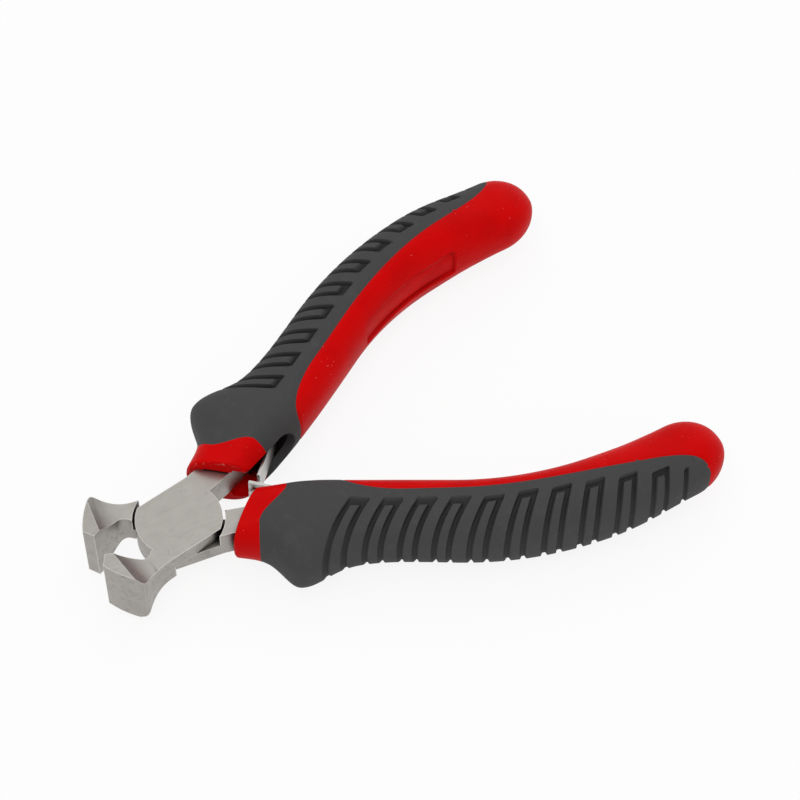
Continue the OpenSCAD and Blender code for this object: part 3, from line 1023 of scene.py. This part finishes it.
@dataclass
class LeafSpring:
    """One leaf spring: a strip from its foot on the tang, curving out to hook into the other leaf."""

    side: Side
    form: HandleForm
    finish: bpy.types.Material
    thick: float = 0.55
    width: float = 5.6
    foot: float = 22.0
    bend: float = 16.4
    middle: float = -2.875
    sweep: tuple[float, float] = (12.6, -4.05)
    tip: tuple[float, float] = (0.8, -7.05)
    tongue: float = 2.2
    tongue_from: float = 1.2
    tongue_past: float = 0.5
    curl: float = 0.5
    curl_turn: float = 140.0
    window: float = 3.0
    window_from: float = 1.6
    window_to: float = -0.42
    window_past: float = 1.2
    rows: int = 60
    foot_rows: int = 8
    past_rows: int = 7
    curl_rows: int = 13
    edge: float = 0.1
    edge_angle: float = 40.0

    def _line(self) -> Array:
        """Find the strip's middle line in plan, as rows of x and y.

        Returns:
            The line from the foot to the hooked end.
        """
        start, sweep, tip = (np.array(p) for p in ((self.bend, self.middle), self.sweep, self.tip))
        f = np.linspace(0.0, 1.0, self.rows)[:, None]
        curve = start * (1 - f) ** 2 + sweep * 2 * f * (1 - f) + tip * f**2
        end = self._end(tip, (tip - sweep) / np.linalg.norm(tip - sweep))
        straight = np.linspace(self.foot, self.bend, self.foot_rows + 1)[:-1]
        foot = np.stack([straight, np.full(self.foot_rows, self.middle)], 1)
        path = np.concatenate([foot, curve, end])
        line = self.form.point(path[:, 0], path[:, 1], np.zeros(len(path)))[:, :2]
        return self._with_rows_at(line, [self.tongue_from, self.window_from, self.window_to])

    def _end(self, tip: Array, ahead: Array) -> Array:
        """Run on past the tip: straight on the leaf with the window, into a small curl on the tongue.

        Args:
            tip: The tip, along and across the handle.
            ahead: The strip's direction there.

        Returns:
            The points after the tip, along and across the handle.
        """
        if self.side is Side.LOWER:
            return tip + ahead * np.linspace(0.0, self.window_past, self.past_rows + 1)[1:, None]
        turn = np.radians(np.linspace(0.0, self.curl_turn, self.curl_rows))[:, None]
        aside = np.array([ahead[1], -ahead[0]])
        arc = self.curl * (np.sin(turn) * ahead + (1.0 - np.cos(turn)) * aside)
        past = ahead * self.tongue_past
        return np.concatenate([[tip + past / 2.0], tip + past + arc])

    @staticmethod
    def _with_rows_at(line: Array, heights: Sequence[float]) -> Array:
        """Add the points where a line crosses given y values.

        Args:
            line: Rows of x and y, with y falling along the strip's tip.
            heights: The y values.

        Returns:
            The line with those points in place.
        """
        for y in heights:
            crossing = np.flatnonzero((line[:-1, 1] > y) & (line[1:, 1] < y))
            for k in crossing[::-1]:
                share = (line[k, 1] - y) / (line[k, 1] - line[k + 1, 1])
                line = np.insert(line, k + 1, line[k] + (line[k + 1] - line[k]) * share, axis=0)
        return line

    def _kept(self, y: Array, low: Array, high: Array) -> Array:
        """Tell which cells of the strip are there: all but the tongue's sides or the window.

        Args:
            y: The cells' places across the tool.
            low: Their lower edges.
            high: Their upper edges.

        Returns:
            True for each cell that is there.
        """
        middle = np.abs(low + high) / 2.0
        if self.side is Side.UPPER:
            return (y > self.tongue_from) | (middle < self.tongue / 2.0)
        in_window = (y < self.window_from) & (y > self.window_to)
        return ~(in_window & (middle < self.window / 2.0))

    def build(self) -> bpy.types.Object:
        """Build the strip and let it stand for its CAD node.

        Returns:
            The leaf's object.
        """
        line = self._line()
        along = np.gradient(line, axis=0)
        along /= np.linalg.norm(along, axis=1)[:, None]
        normal = np.stack([-along[:, 1], along[:, 0]], 1)
        wide, narrow = self.width / 2.0, (self.tongue if self.side is Side.UPPER else self.window) / 2.0
        z = np.array([-wide, -narrow, 0.0, narrow, wide])
        rows, columns = len(line), len(z)
        j, i = (a.ravel() for a in np.meshgrid(np.arange(rows - 1), np.arange(columns - 1), indexing="ij"))
        y = (line[j, 1] + line[j + 1, 1]) / 2.0
        keep = self._kept(y, z[i], z[i + 1])
        j, i = j[keep], i[keep]
        a, b = j * columns + i, j * columns + i + 1
        halves = ([a, b, b + columns], [a, b + columns, a + columns])
        used, faces = compact(np.concatenate([np.stack(half, 1) for half in halves]))
        shell, sheets = Shell(), []
        for k in (1.0, -1.0):
            plan = np.repeat((line + k * self.thick / 2.0 * normal)[:, None], columns, axis=1)
            height = np.broadcast_to(z[None, :, None], (rows, columns, 1))
            sheets.append(shell.add(np.concatenate([plan, height], axis=2).reshape(-1, 3)[used]))
        shell_faces(shell, faces, *sheets)
        piece = shell.build(f"{self.side.value}_leaf_spring", self.side, self.finish)
        self._round_edges(piece)
        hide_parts(f"{self.side.value}_spring")
        start, tip = (self._in_frame(*place) for place in ((self.bend, self.middle), self.tip))
        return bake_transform(piece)

    def _in_frame(self, along: float, across: float) -> Vector:
        """Find a place of the handle's line in the part's frame, in metres."""
        return Vector(self.side.place(self.form.point(*(np.array([v]) for v in (along, across, 0.0))))[0])

    def _round_edges(self, piece: bpy.types.Object) -> None:
        """Turn the strip's faces outwards and round its long edges."""
        with editing(piece.data) as work:
            bmesh.ops.recalc_face_normals(work, faces=work.faces)
            sharp = [e for e in work.edges if e.calc_face_angle(0.0) > math.radians(self.edge_angle)]
            offset = self.edge * MM
            bmesh.ops.bevel(work, geom=sharp, offset=offset, segments=2, affect="EDGES", clamp_overlap=True)


@dataclass
class CadSteel:
    """The steel pieces that keep their CAD shape, with a ground finish.

    Their edges are eased by the radius at most: very short edges beside them hold the bevel back.
    """

    nodes: Sequence[str]
    finish: bpy.types.Material
    radius: float
    merge: float = 0.001
    flat: float = 0.6
    sharp: float = 28.0
    segments: int = 3

    def dress(self) -> None:
        """Ease each node's edges and give it the finish."""
        for name in self.nodes:
            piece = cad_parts[name]
            self._ease(piece)
            piece.data.materials.clear()
            piece.data.materials.append(self.finish)
            piece.data.polygons.foreach_set("use_smooth", [True] * len(piece.data.polygons))
            LOG.info("%s: dressed with %s", name, self.finish.name)

    def _ease(self, piece: bpy.types.Object) -> None:
        """Add the modifiers that merge, flatten and bevel a node's mesh.

        Args:
            piece: The CAD node's object.
        """
        piece.modifiers.new("merge", "WELD").merge_threshold = self.merge * MM
        flat = piece.modifiers.new("flatten", "DECIMATE")
        flat.decimate_type = "DISSOLVE"
        flat.angle_limit = math.radians(self.flat)
        bevel = piece.modifiers.new("ease", "BEVEL")
        bevel.width = self.radius * MM
        bevel.segments = self.segments
        bevel.limit_method = "ANGLE"
        bevel.angle_limit = math.radians(self.sharp)
        bevel.use_clamp_overlap = True
        bevel.harden_normals = True
        piece.modifiers.new("normals", "WEIGHTED_NORMAL").keep_sharp = True


@dataclass
class PivotRivet:
    """The pivot: a shank with countersunk heads, ground flush with both faces of the joint."""

    finish: bpy.types.Material
    shank: float = 2.6
    head: float = 3.25
    head_deep: float = 0.4
    proud: float = 0.004
    sides: int = 96

    def build(self) -> bpy.types.Object:
        """Turn the rivet about the pivot axis.

        Returns:
            The rivet's object, riding on the lower arm.
        """
        top, under = JOINT_HALF + self.proud, JOINT_HALF - self.head_deep
        profile = [(self.head, -top), (self.shank, -under), (self.shank, under), (self.head, top)]
        angle = np.arange(self.sides) * (2.0 * math.pi / self.sides)
        shell = Shell()
        for r, z in profile:
            shell.add(np.stack([r * np.cos(angle), r * np.sin(angle), np.full(self.sides, z)], 1))
        i, last = np.arange(self.sides), (len(profile) - 1) * self.sides
        n = (i + 1) % self.sides
        for k in range(len(profile) - 1):
            low, high = k * self.sides, (k + 1) * self.sides
            shell.add_faces(np.stack([i + low, n + low, n + high, i + high], 1))
        shell.faces.append(tuple(int(v) for v in i[::-1]))
        shell.faces.append(tuple(int(v) for v in i + last))
        piece = shell.build("flush_pivot_rivet", Side.UPPER, self.finish)
        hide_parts("pivot_rivet")
        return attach(piece, Side.LOWER.body)


Link = Union["Wire", float, int, Colour, tuple, bpy.types.NodeSocket]
Sockets = dict[Union[int, str], Link]


class Wire:
    """An output socket. Python's operators on it add Math nodes."""

    def __init__(self, shading: Shading, socket: bpy.types.NodeSocket) -> None:
        """Keep the socket and the shading that it belongs to."""
        self.shading = shading
        self.socket = socket

    def _math(self, operation: str, *values: Link) -> Wire:
        """Add one Math node on the given values."""
        return self.shading.wire("ShaderNodeMath", {"operation": operation}, dict(enumerate(values)))

    def __add__(self, other: Link) -> Wire:
        """Add a value."""
        return self._math("ADD", self, other)

    __radd__ = __add__

    def __mul__(self, other: Link) -> Wire:
        """Multiply by a value."""
        return self._math("MULTIPLY", self, other)

    __rmul__ = __mul__

    def __sub__(self, other: Link) -> Wire:
        """Subtract a value."""
        return self._math("SUBTRACT", self, other)

    def __rsub__(self, other: Link) -> Wire:
        """Subtract from a value."""
        return self._math("SUBTRACT", other, self)

    def highest(self, other: Link) -> Wire:
        """Take the greater of two values."""
        return self._math("MAXIMUM", self, other)

    def between(self, low: float, high: float) -> Wire:
        """Step smoothly from 0 at low to 1 at high."""
        settings = {"interpolation_type": "SMOOTHSTEP"}
        return self.shading.wire("ShaderNodeMapRange", settings, {0: self, 1: low, 2: high, 3: 0.0, 4: 1.0})


@dataclass(frozen=True)
class Patches:
    """Soft-edged patches: where a noise rises from a low to a high value."""

    scale: float
    detail: float
    low: float
    high: float
    rough: float = 0.55


@dataclass(frozen=True)
class Layer:
    """A colour laid over others, by a mask and the share that it takes where the mask is 1."""

    mask: Wire
    share: float
    colour: Colour


class Shading:
    """A node tree in the making."""

    speck_core: float = 0.6
    open_corner: float = 0.85
    edge_alike: Span = (0.88, 0.995)
    level_square: Span = (0.35, 0.9)

    def __init__(self, tree: bpy.types.NodeTree) -> None:
        """Start with an empty tree."""
        self.tree = tree
        tree.nodes.clear()

    @classmethod
    def of_material(cls, name: str) -> tuple[Shading, bpy.types.Material]:
        """Make a material with an empty tree.

        Args:
            name: The material's name.

        Returns:
            The tree's shading, and the material.
        """
        material = bpy.data.materials.new(name)
        material.use_nodes = True
        return cls(material.node_tree), material

    def node(self, kind: str, settings: dict[str, Any], sockets: Sockets) -> bpy.types.Node:
        """Add a node.

        Args:
            kind: The node's type.
            settings: Its settings, set first.
            sockets: Values or links for its sockets, by name or place.

        Returns:
            The new node.
        """
        node = self.tree.nodes.new(kind)
        for key, value in settings.items():
            setattr(node, key, value)
        for key, value in sockets.items():
            source = value.socket if isinstance(value, Wire) else value
            if isinstance(source, bpy.types.NodeSocket):
                self.tree.links.new(source, node.inputs[key])
            else:
                node.inputs[key].default_value = value
        return node

    def wire(self, kind: str, settings: dict[str, Any], sockets: Sockets,
             output: Union[int, str] = 0) -> Wire:
        """Add a node and give one of its outputs."""
        return Wire(self, self.node(kind, settings, sockets).outputs[output])

    def millimetres(self, stretch: Colour = (1.0, 1.0, 1.0), turn: Colour = (0.0, 0.0, 0.0)) -> Wire:
        """Give the place on the object in millimetres.

        Args:
            stretch: Scale along each axis after the turn.
            turn: Turn about each axis, in radians.

        Returns:
            The vector's wire.
        """
        place = self.wire("ShaderNodeTexCoord", {}, {}, "Object")
        scale = tuple(s / MM for s in stretch)
        sockets = {0: place, "Rotation": turn, "Scale": scale}
        return self.wire("ShaderNodeMapping", {"vector_type": "POINT"}, sockets)

    def noise(self, place: Wire, scale: float, detail: float = 3.0, rough: float = 0.55) -> Wire:
        """Give a noise of a scale for each millimetre."""
        sockets = {"Vector": place, "Scale": scale, "Detail": detail, "Roughness": rough}
        return self.wire("ShaderNodeTexNoise", {}, sockets, "Fac")

    def patches(self, place: Wire, look: Patches) -> Wire:
        """Give 1 in a noise's patches and 0 between them."""
        return self.noise(place, look.scale, look.detail, look.rough).between(look.low, look.high)

    def specks(self, place: Wire, scale: float, size: float) -> Wire:
        """Give scattered round specks: 1 in a speck, 0 elsewhere.

        Args:
            place: Where on the object.
            scale: Cells for each millimetre.
            size: Size of a speck as a share of its cell.

        Returns:
            The mask's wire.
        """
        return 1.0 - self._cells("F1", place, scale).between(size * self.speck_core, size)

    def scratches(self, place: Wire, scale: float, width: float) -> Wire:
        """Give thin lines along stretched cells' edges."""
        return 1.0 - self._cells("DISTANCE_TO_EDGE", place, scale).between(0.0, width)

    def _cells(self, feature: str, place: Wire, scale: float) -> Wire:
        """Give a distance within cells, from their points or to their edges."""
        sockets = {"Vector": place, "Scale": scale}
        return self.wire("ShaderNodeTexVoronoi", {"feature": feature}, sockets, "Distance")

    def crevices(self, reach: float, tight: float = 0.25) -> Wire:
        """Give 1 in the corners within a reach in millimetres, and 0 on open faces."""
        open_share = self.wire("ShaderNodeAmbientOcclusion", {"samples": 8}, {"Distance": reach * MM}, "AO")
        return 1.0 - open_share.between(tight, self.open_corner)

    def worn_and_lit_edges(self, reach: float) -> Wire:
        """Give 1 along edges within a reach in millimetres, and 0 on plain faces.

        Args:
            reach: How far from an edge the wear and its painted highlight go.

        Returns:
            The mask's wire.
        """
        eased = self.wire("ShaderNodeBevel", {"samples": 6}, {"Radius": reach * MM})
        plain = self.wire("ShaderNodeNewGeometry", {}, {}, "Normal")
        settings = {"operation": "DOT_PRODUCT"}
        alike = self.wire("ShaderNodeVectorMath", settings, {0: eased, 1: plain}, "Value")
        return 1.0 - alike.between(*self.edge_alike)

    def level_share(self) -> Wire:
        """Give 1 on faces that lie level, and 0 on upright ones.

        Returns:
            The mask's wire.
        """
        plain = self.wire("ShaderNodeNewGeometry", {}, {}, "Normal")
        height = self.wire("ShaderNodeSeparateXYZ", {}, {0: plain}, "Z")
        return (height * height).between(*self.level_square)

    def mask(self, name: str) -> Wire:
        """Read one of the mesh's own masks."""
        return self.wire("ShaderNodeAttribute", {"attribute_name": name}, {}, "Fac")

    def mix(self, share: Link, first: Link, second: Link) -> Wire:
        """Mix two colours.

        Args:
            share: How much of the second one is taken.
            first: A colour or its wire.
            second: A colour or its wire.

        Returns:
            The mixed colour's wire.
        """
        colours = {0: share}
        for key, value in ((6, first), (7, second)):
            colours[key] = value if isinstance(value, Wire) else (*value, 1.0)
        return self.wire("ShaderNodeMix", {"data_type": "RGBA"}, colours, 2)

    def layered(self, base: Colour, layers: Sequence[Layer]) -> Link:
        """Lay colours over a base colour, one after the other.

        Args:
            base: The colour below all layers.
            layers: The layers, the lowest first.

        Returns:
            The last colour's wire.
        """
        colour: Link = base
        for layer in layers:
            colour = self.mix(layer.mask * layer.share, colour, layer.colour)
        return colour

    def bump(self, height: Wire, deep: float, strength: float) -> Wire:
        """Turn a height from 0 to 1 into a normal, at a depth in millimetres."""
        sockets = {"Height": height, "Distance": deep * MM, "Strength": strength}
        return self.wire("ShaderNodeBump", {}, sockets)

    def principled(self, sockets: dict[str, Link]) -> None:
        """Send a Principled shader to the tree's output."""
        self.surface(self.node("ShaderNodeBsdfPrincipled", {}, sockets))

    def surface(self, shader: bpy.types.Node) -> None:
        """Send a shader to the tree's output."""
        self.node("ShaderNodeOutputMaterial", {}, {"Surface": shader.outputs[0]})


@dataclass(frozen=True)
class GroundSteel:
    """Warm satin steel with fine grinding lines, small scratches, pits and stains, painted shade and
    painted edge highlights.
    """

    name: str = "ground_steel"
    colour: Colour = (0.41, 0.39, 0.362)
    dark: Colour = (0.16, 0.15, 0.135)
    bright: Colour = (0.74, 0.72, 0.69)
    # Colour of the painted shade in tight corners and crevices.
    crevice_shade: Colour = (0.035, 0.032, 0.028)
    roughness: float = 0.38
    wear: float = 1.0
    # Share of the painted highlight and the wear along edges.
    edge: float = 1.0
    shaded: Span = (-8.0, -4.0)
    line_stretch: Colour = (0.25, 9.0, 3.0)
    line_turn: Colour = (0.0, 0.0, 0.5)
    mark_stretch: Colour = (0.32, 1.6, 0.7)
    mark_turn: Colour = (0.3, 0.2, 0.9)
    pitted: Patches = Patches(0.5, 3.0, 0.5, 0.62)
    marked: Patches = Patches(0.28, 1.0, 0.52, 0.66)
    stained: Patches = Patches(0.8, 6.0, 0.55, 0.68, 0.62)

    def _darker(self, share: float) -> Colour:
        """Give a darker tone of the colour."""
        return tuple(c * share for c in self.colour)

    def material(self) -> bpy.types.Material:
        """Make the material.

        Returns:
            The finish, ready for a mesh.
        """
        shade, material = Shading.of_material(self.name)
        place = shade.millimetres()
        lines = shade.noise(shade.millimetres(self.line_stretch, self.line_turn), scale=1.0, detail=4.0)
        cloud = shade.noise(place, scale=0.35, detail=4.0)
        grain = shade.noise(place, scale=14.0, detail=2.0)
        pits = shade.specks(place, scale=1.1, size=0.13) * shade.patches(place, self.pitted)
        drawn = shade.millimetres(self.mark_stretch, self.mark_turn)
        marks = shade.scratches(drawn, scale=0.55, width=0.012) * shade.patches(place, self.marked)
        dirt = pits.highest(marks * 0.7) * self.wear
        upright = 1.0 - shade.level_share()
        stains = shade.patches(place, self.stained) * upright * self.wear
        behind = shade.wire("ShaderNodeSeparateXYZ", {}, {0: place}, "X").between(*self.shaded)
        # Painted highlight along the edges, together with their wear.
        edges = shade.worn_and_lit_edges(0.3) * (cloud * 0.6 + 0.4)
        colour = shade.layered(self.colour, (
            Layer(cloud.between(0.3, 0.75), 0.25, self._darker(0.82)),
            Layer(lines.between(0.45, 0.75), 0.3, self._darker(0.72)),
            # Painted shade: upright faces are darkened in cloudy patches, as if the light falls less on
            # them.
            Layer(upright * cloud, 0.32, self.dark),
            Layer(stains, 0.45, self.dark),
            Layer(dirt, 0.75, self.dark),
            # Painted shade in the wider hollows, kept off the jaws by the place along the tool.
            Layer(shade.crevices(5.0, tight=0.1) * behind, 0.6, self.dark),
            Layer(edges, self.edge, self.bright),
            # Painted shade in tight corners and crevices, from ambient occlusion.
            Layer(shade.crevices(1.6) * (grain * 0.4 + 0.75), 1.0, self.crevice_shade),
        ))
        rough = lines * 0.14 + cloud * 0.1 + dirt * 0.2 + (self.roughness - 0.12)
        height = lines * 0.5 + grain * 0.25 - dirt * 1.5
        shade.principled({
            "Base Color": colour, "Metallic": 1.0, "Roughness": rough,
            "Normal": shade.bump(height, deep=0.012, strength=0.6)})
        return material


@dataclass(frozen=True)
class MouldedPlastic:
    """Satin red plastic with a fine moulded texture, dust and a few scuffs, and painted shade along the
    panel's wall and in the spring slot.
    """

    name: str = "moulded_plastic"
    colour: Colour = (0.63, 0.001, 0.0015)
    deep: Colour = (0.43, 0.0008, 0.001)
    pale: Colour = (0.72, 0.33, 0.3)
    # Colour of the painted shade along the panel's wall.
    line: Colour = (0.2, 0.0006, 0.0008)
    shade: Colour = (0.014, 0.012, 0.012)
    roughness: float = 0.42
    specular: float = 0.045
    scuff_stretch: Colour = (0.5, 3.0, 3.0)
    scuff_turn: Colour = (0.0, 0.0, -0.5)
    dusty: Patches = Patches(0.3, 3.0, 0.45, 0.6)
    scuffs: Patches = Patches(0.9, 5.0, 0.66, 0.72, 0.65)
    scuffed: Patches = Patches(0.22, 1.0, 0.52, 0.62)
    torn: Patches = Patches(1.3, 4.0, 0.52, 0.68)

    def material(self) -> bpy.types.Material:
        """Make the material.

        Returns:
            The finish, ready for a mesh.
        """
        shade, material = Shading.of_material(self.name)
        place = shade.millimetres()
        cloud = shade.noise(place, scale=0.12)
        skin = shade.noise(place, scale=5.0)
        dust = shade.specks(place, scale=0.85, size=0.075) * shade.patches(place, self.dusty)
        scuffs = shade.patches(shade.millimetres(self.scuff_stretch, self.scuff_turn), self.scuffs)
        scuffs = scuffs * shade.patches(place, self.scuffed)
        torn = shade.mask("rim").between(0.72, 0.98) * shade.patches(place, self.torn)
        wear = dust.highest(scuffs * 0.6).highest(torn * 0.5)
        colour = shade.layered(self.colour, (
            Layer(cloud.between(0.35, 0.7), 0.35, self.deep),
            Layer(shade.mask("seam").between(0.55, 1.0), 0.35, self.deep),
            # Painted shade along the wall of the bare panel.
            Layer(shade.mask("lip").between(0.35, 1.0), 0.75, self.line),
            Layer(wear, 0.7, self.pale),
            Layer(shade.mask("under"), 1.0, self.shade),
        ))
        rough = skin * 0.1 + wear * 0.25 + cloud * 0.08 + (self.roughness - 0.09)
        height = skin * 0.6 + cloud * 0.4 - scuffs * 0.5
        shade.principled({
            "Base Color": colour, "Roughness": rough, "IOR": 1.46, "Specular IOR Level": self.specular,
            "Normal": shade.bump(height, deep=0.02, strength=0.5)})
        return material


@dataclass(frozen=True)
class SoftRubber:
    """Matte grey soft rubber with painted shade in its channels, pale specks and rubbed lands."""

    name: str = "soft_rubber"
    colour: Colour = (0.056, 0.056, 0.0565)
    # Colour of the painted shade in the channels.
    dark: Colour = (0.02, 0.02, 0.0205)
    pale: Colour = (0.17, 0.17, 0.17)
    roughness: float = 0.72
    specular: float = 0.25
    speckled: Patches = Patches(0.35, 3.0, 0.46, 0.6)
    rubbed: Patches = Patches(0.45, 5.0, 0.5, 0.75)

    def material(self) -> bpy.types.Material:
        """Make the material.

        Returns:
            The finish, ready for a mesh.
        """
        shade, material = Shading.of_material(self.name)
        place = shade.millimetres()
        cloud = shade.noise(place, scale=0.16, detail=4.0)
        grain = shade.noise(place, scale=9.0)
        specks = shade.specks(place, scale=1.2, size=0.1) * shade.patches(place, self.speckled)
        groove = shade.mask("groove")
        colour = shade.layered(self.colour, (
            # Painted shade in the channels, deepest on their floors.
            Layer(groove, 0.8, self.dark),
            Layer(shade.patches(place, self.rubbed) * (1.0 - groove), 0.07, self.pale),
            Layer(specks, 0.5, self.pale),
        ))
        rough = grain * 0.12 + cloud * 0.12 + (self.roughness - 0.12)
        shade.principled({
            "Base Color": colour, "Roughness": rough, "IOR": 1.42, "Specular IOR Level": self.specular,
            "Normal": shade.bump(grain * 0.7 + cloud * 0.3, deep=0.03, strength=0.6)})
        return material


@dataclass(frozen=True)
class Lamp:
    """A soft square panel: where it hangs and its side, in metres, and its power in watts."""

    name: str
    place: Colour
    size: float
    power: float


@dataclass
class Studio:
    """Pale floor, soft light and the camera at the photograph's place."""

    view_turn: float = 31.12165
    view_down: float = 55.05327
    view_roll: float = 0.9168
    distance: float = 480.372
    focal_pixels: float = 2486.813
    frame_pixels: int = 800
    sensor: float = 36.0
    target: Colour = (50.13769, 4.42934, JOINT_HALF)
    floor_half: float = 3.0
    floor_colour: Colour = (0.92, 0.92, 0.92)
    floor_glow: float = 0.88
    sky_low: float = 0.9
    sky_high: float = 0.5
    sky_span: Span = (0.0, 0.9)
    lamps: tuple[Lamp, ...] = (
        Lamp("wide_panel", (0.1, 0.1, 0.9), 1.0, 2.2),
        Lamp("key_panel", (-0.25, -0.2, 0.8), 0.25, 1.0),
        Lamp("fill_panel", (0.5, 0.4, 0.55), 0.6, 0.55),
    )

    def build(self) -> None:
        """Set the whole stage."""
        self._camera()
        self._floor()
        self._world()
        for lamp in self.lamps:
            self._hang(lamp)
        bpy.context.scene.view_settings.view_transform = "Standard"

    def _camera(self) -> None:
        """Place the camera by its fitted angles and distance."""
        turn, down, roll = (math.radians(a) for a in (self.view_turn, self.view_down, self.view_roll))
        level = Vector((math.cos(turn), -math.sin(turn), 0.0))
        away = Vector((math.sin(turn), math.cos(turn), 0.0))
        ahead = away * math.cos(down) - Vector((0.0, 0.0, math.sin(down)))
        upright = away * math.sin(down) + Vector((0.0, 0.0, math.cos(down)))
        right = level * math.cos(roll) + upright * math.sin(roll)
        up = upright * math.cos(roll) - level * math.sin(roll)
        data = bpy.data.cameras.new("camera")
        data.sensor_width = self.sensor
        data.lens = self.focal_pixels * self.sensor / self.frame_pixels
        camera = add_object("camera", data)
        camera.matrix_world = Matrix((right, up, -ahead)).transposed().to_4x4()
        camera.location = (Vector(self.target) - ahead * self.distance) * MM
        bpy.context.scene.camera = camera

    def _floor(self) -> None:
        """Lay the floor under the tool's lowest point."""
        low = min(CAD_BOX[0][2], CAD_BOX[1][2])
        h = self.floor_half
        mesh = bpy.data.meshes.new("floor")
        mesh.from_pydata([(-h, -h, low), (h, -h, low), (h, h, low), (-h, h, low)], [], [(0, 1, 2, 3)])
        floor = add_object("floor", mesh)
        shade, material = Shading.of_material("pale_floor")
        plain = shade.node("ShaderNodeBsdfDiffuse", {}, {"Color": (*self.floor_colour, 1.0)})
        glow = shade.node("ShaderNodeEmission", {}, {"Color": (1.0, 1.0, 1.0, 1.0), "Strength": 1.0})
        share = self._seen(shade) * self.floor_glow
        both = {0: share, 1: plain.outputs[0], 2: glow.outputs[0]}
        shade.surface(shade.node("ShaderNodeMixShader", {}, both))
        mesh.materials.append(material)

    @staticmethod
    def _seen(shade: Shading) -> Wire:
        """Tell the rays that the camera, gloss and clear surfaces send.

        Args:
            shade: The shading that takes the nodes.

        Returns:
            A wire that is 1 for such rays and 0 for others.
        """
        path = shade.node("ShaderNodeLightPath", {}, {})
        names = ("Is Camera Ray", "Is Glossy Ray", "Is Transmission Ray")
        camera, gloss, clear = (Wire(shade, path.outputs[n]) for n in names)
        return camera.highest(gloss).highest(clear)

    def _world(self) -> None:
        """Light the scene softly from all round."""
        world = bpy.data.worlds.new("studio")
        world.use_nodes = True
        shade = Shading(world.node_tree)
        towards = shade.wire("ShaderNodeTexCoord", {}, {}, "Generated")
        height = shade.wire("ShaderNodeSeparateXYZ", {}, {0: towards}, "Z")
        low, high = ((level,) * 3 for level in (self.sky_low, self.sky_high))
        colour = shade.mix(height.between(*self.sky_span), low, high)
        light = shade.node("ShaderNodeBackground", {}, {"Color": colour, "Strength": 1.0})
        shade.node("ShaderNodeOutputWorld", {}, {"Surface": light.outputs[0]})
        bpy.context.scene.world = world

    def _hang(self, lamp: Lamp) -> None:
        """Hang a panel that faces the tool.

        Args:
            lamp: What to hang.
        """
        data = bpy.data.lights.new(lamp.name, "AREA")
        data.shape, data.size, data.energy = "SQUARE", lamp.size, lamp.power
        panel = add_object(lamp.name, data)
        panel.location = lamp.place
        look = Vector(self.target) * MM - Vector(lamp.place)
        panel.rotation_euler = look.to_track_quat("-Z", "Y").to_euler()


def main() -> None:
    """Build the dressed nippers and their stage, piece by piece."""
    logging.basicConfig(level=logging.INFO, format="%(name)s %(message)s")
    steel = GroundSteel().material()
    strip = GroundSteel("bright_strip", (0.5, 0.49, 0.47), roughness=0.3, wear=0.4).material()
    plastic, rubber = MouldedPlastic().material(), SoftRubber().material()
    # The rivet's finish leaves out the painted highlight and wear on edges.
    flush = GroundSteel("flush_steel", edge=0.0).material()
    CadSteel(("upper_half", "lower_half"), steel, radius=0.2).dress()
    CadSteel(("upper_spring_rivet", "lower_spring_rivet"), strip, radius=0.08).dress()
    LOG.info("%s: built", PivotRivet(flush).build().name)
    skin = HandleSkin()
    for side in Side:
        handle = Handle(side, skin, plastic, rubber)
        for piece in (handle.sleeve(), handle.grip(), LeafSpring(side, skin.form, strip).build()):
            LOG.info("%s: %d faces", piece.name, len(piece.data.polygons))
    Studio().build()


if __name__ == "__main__":
    main()
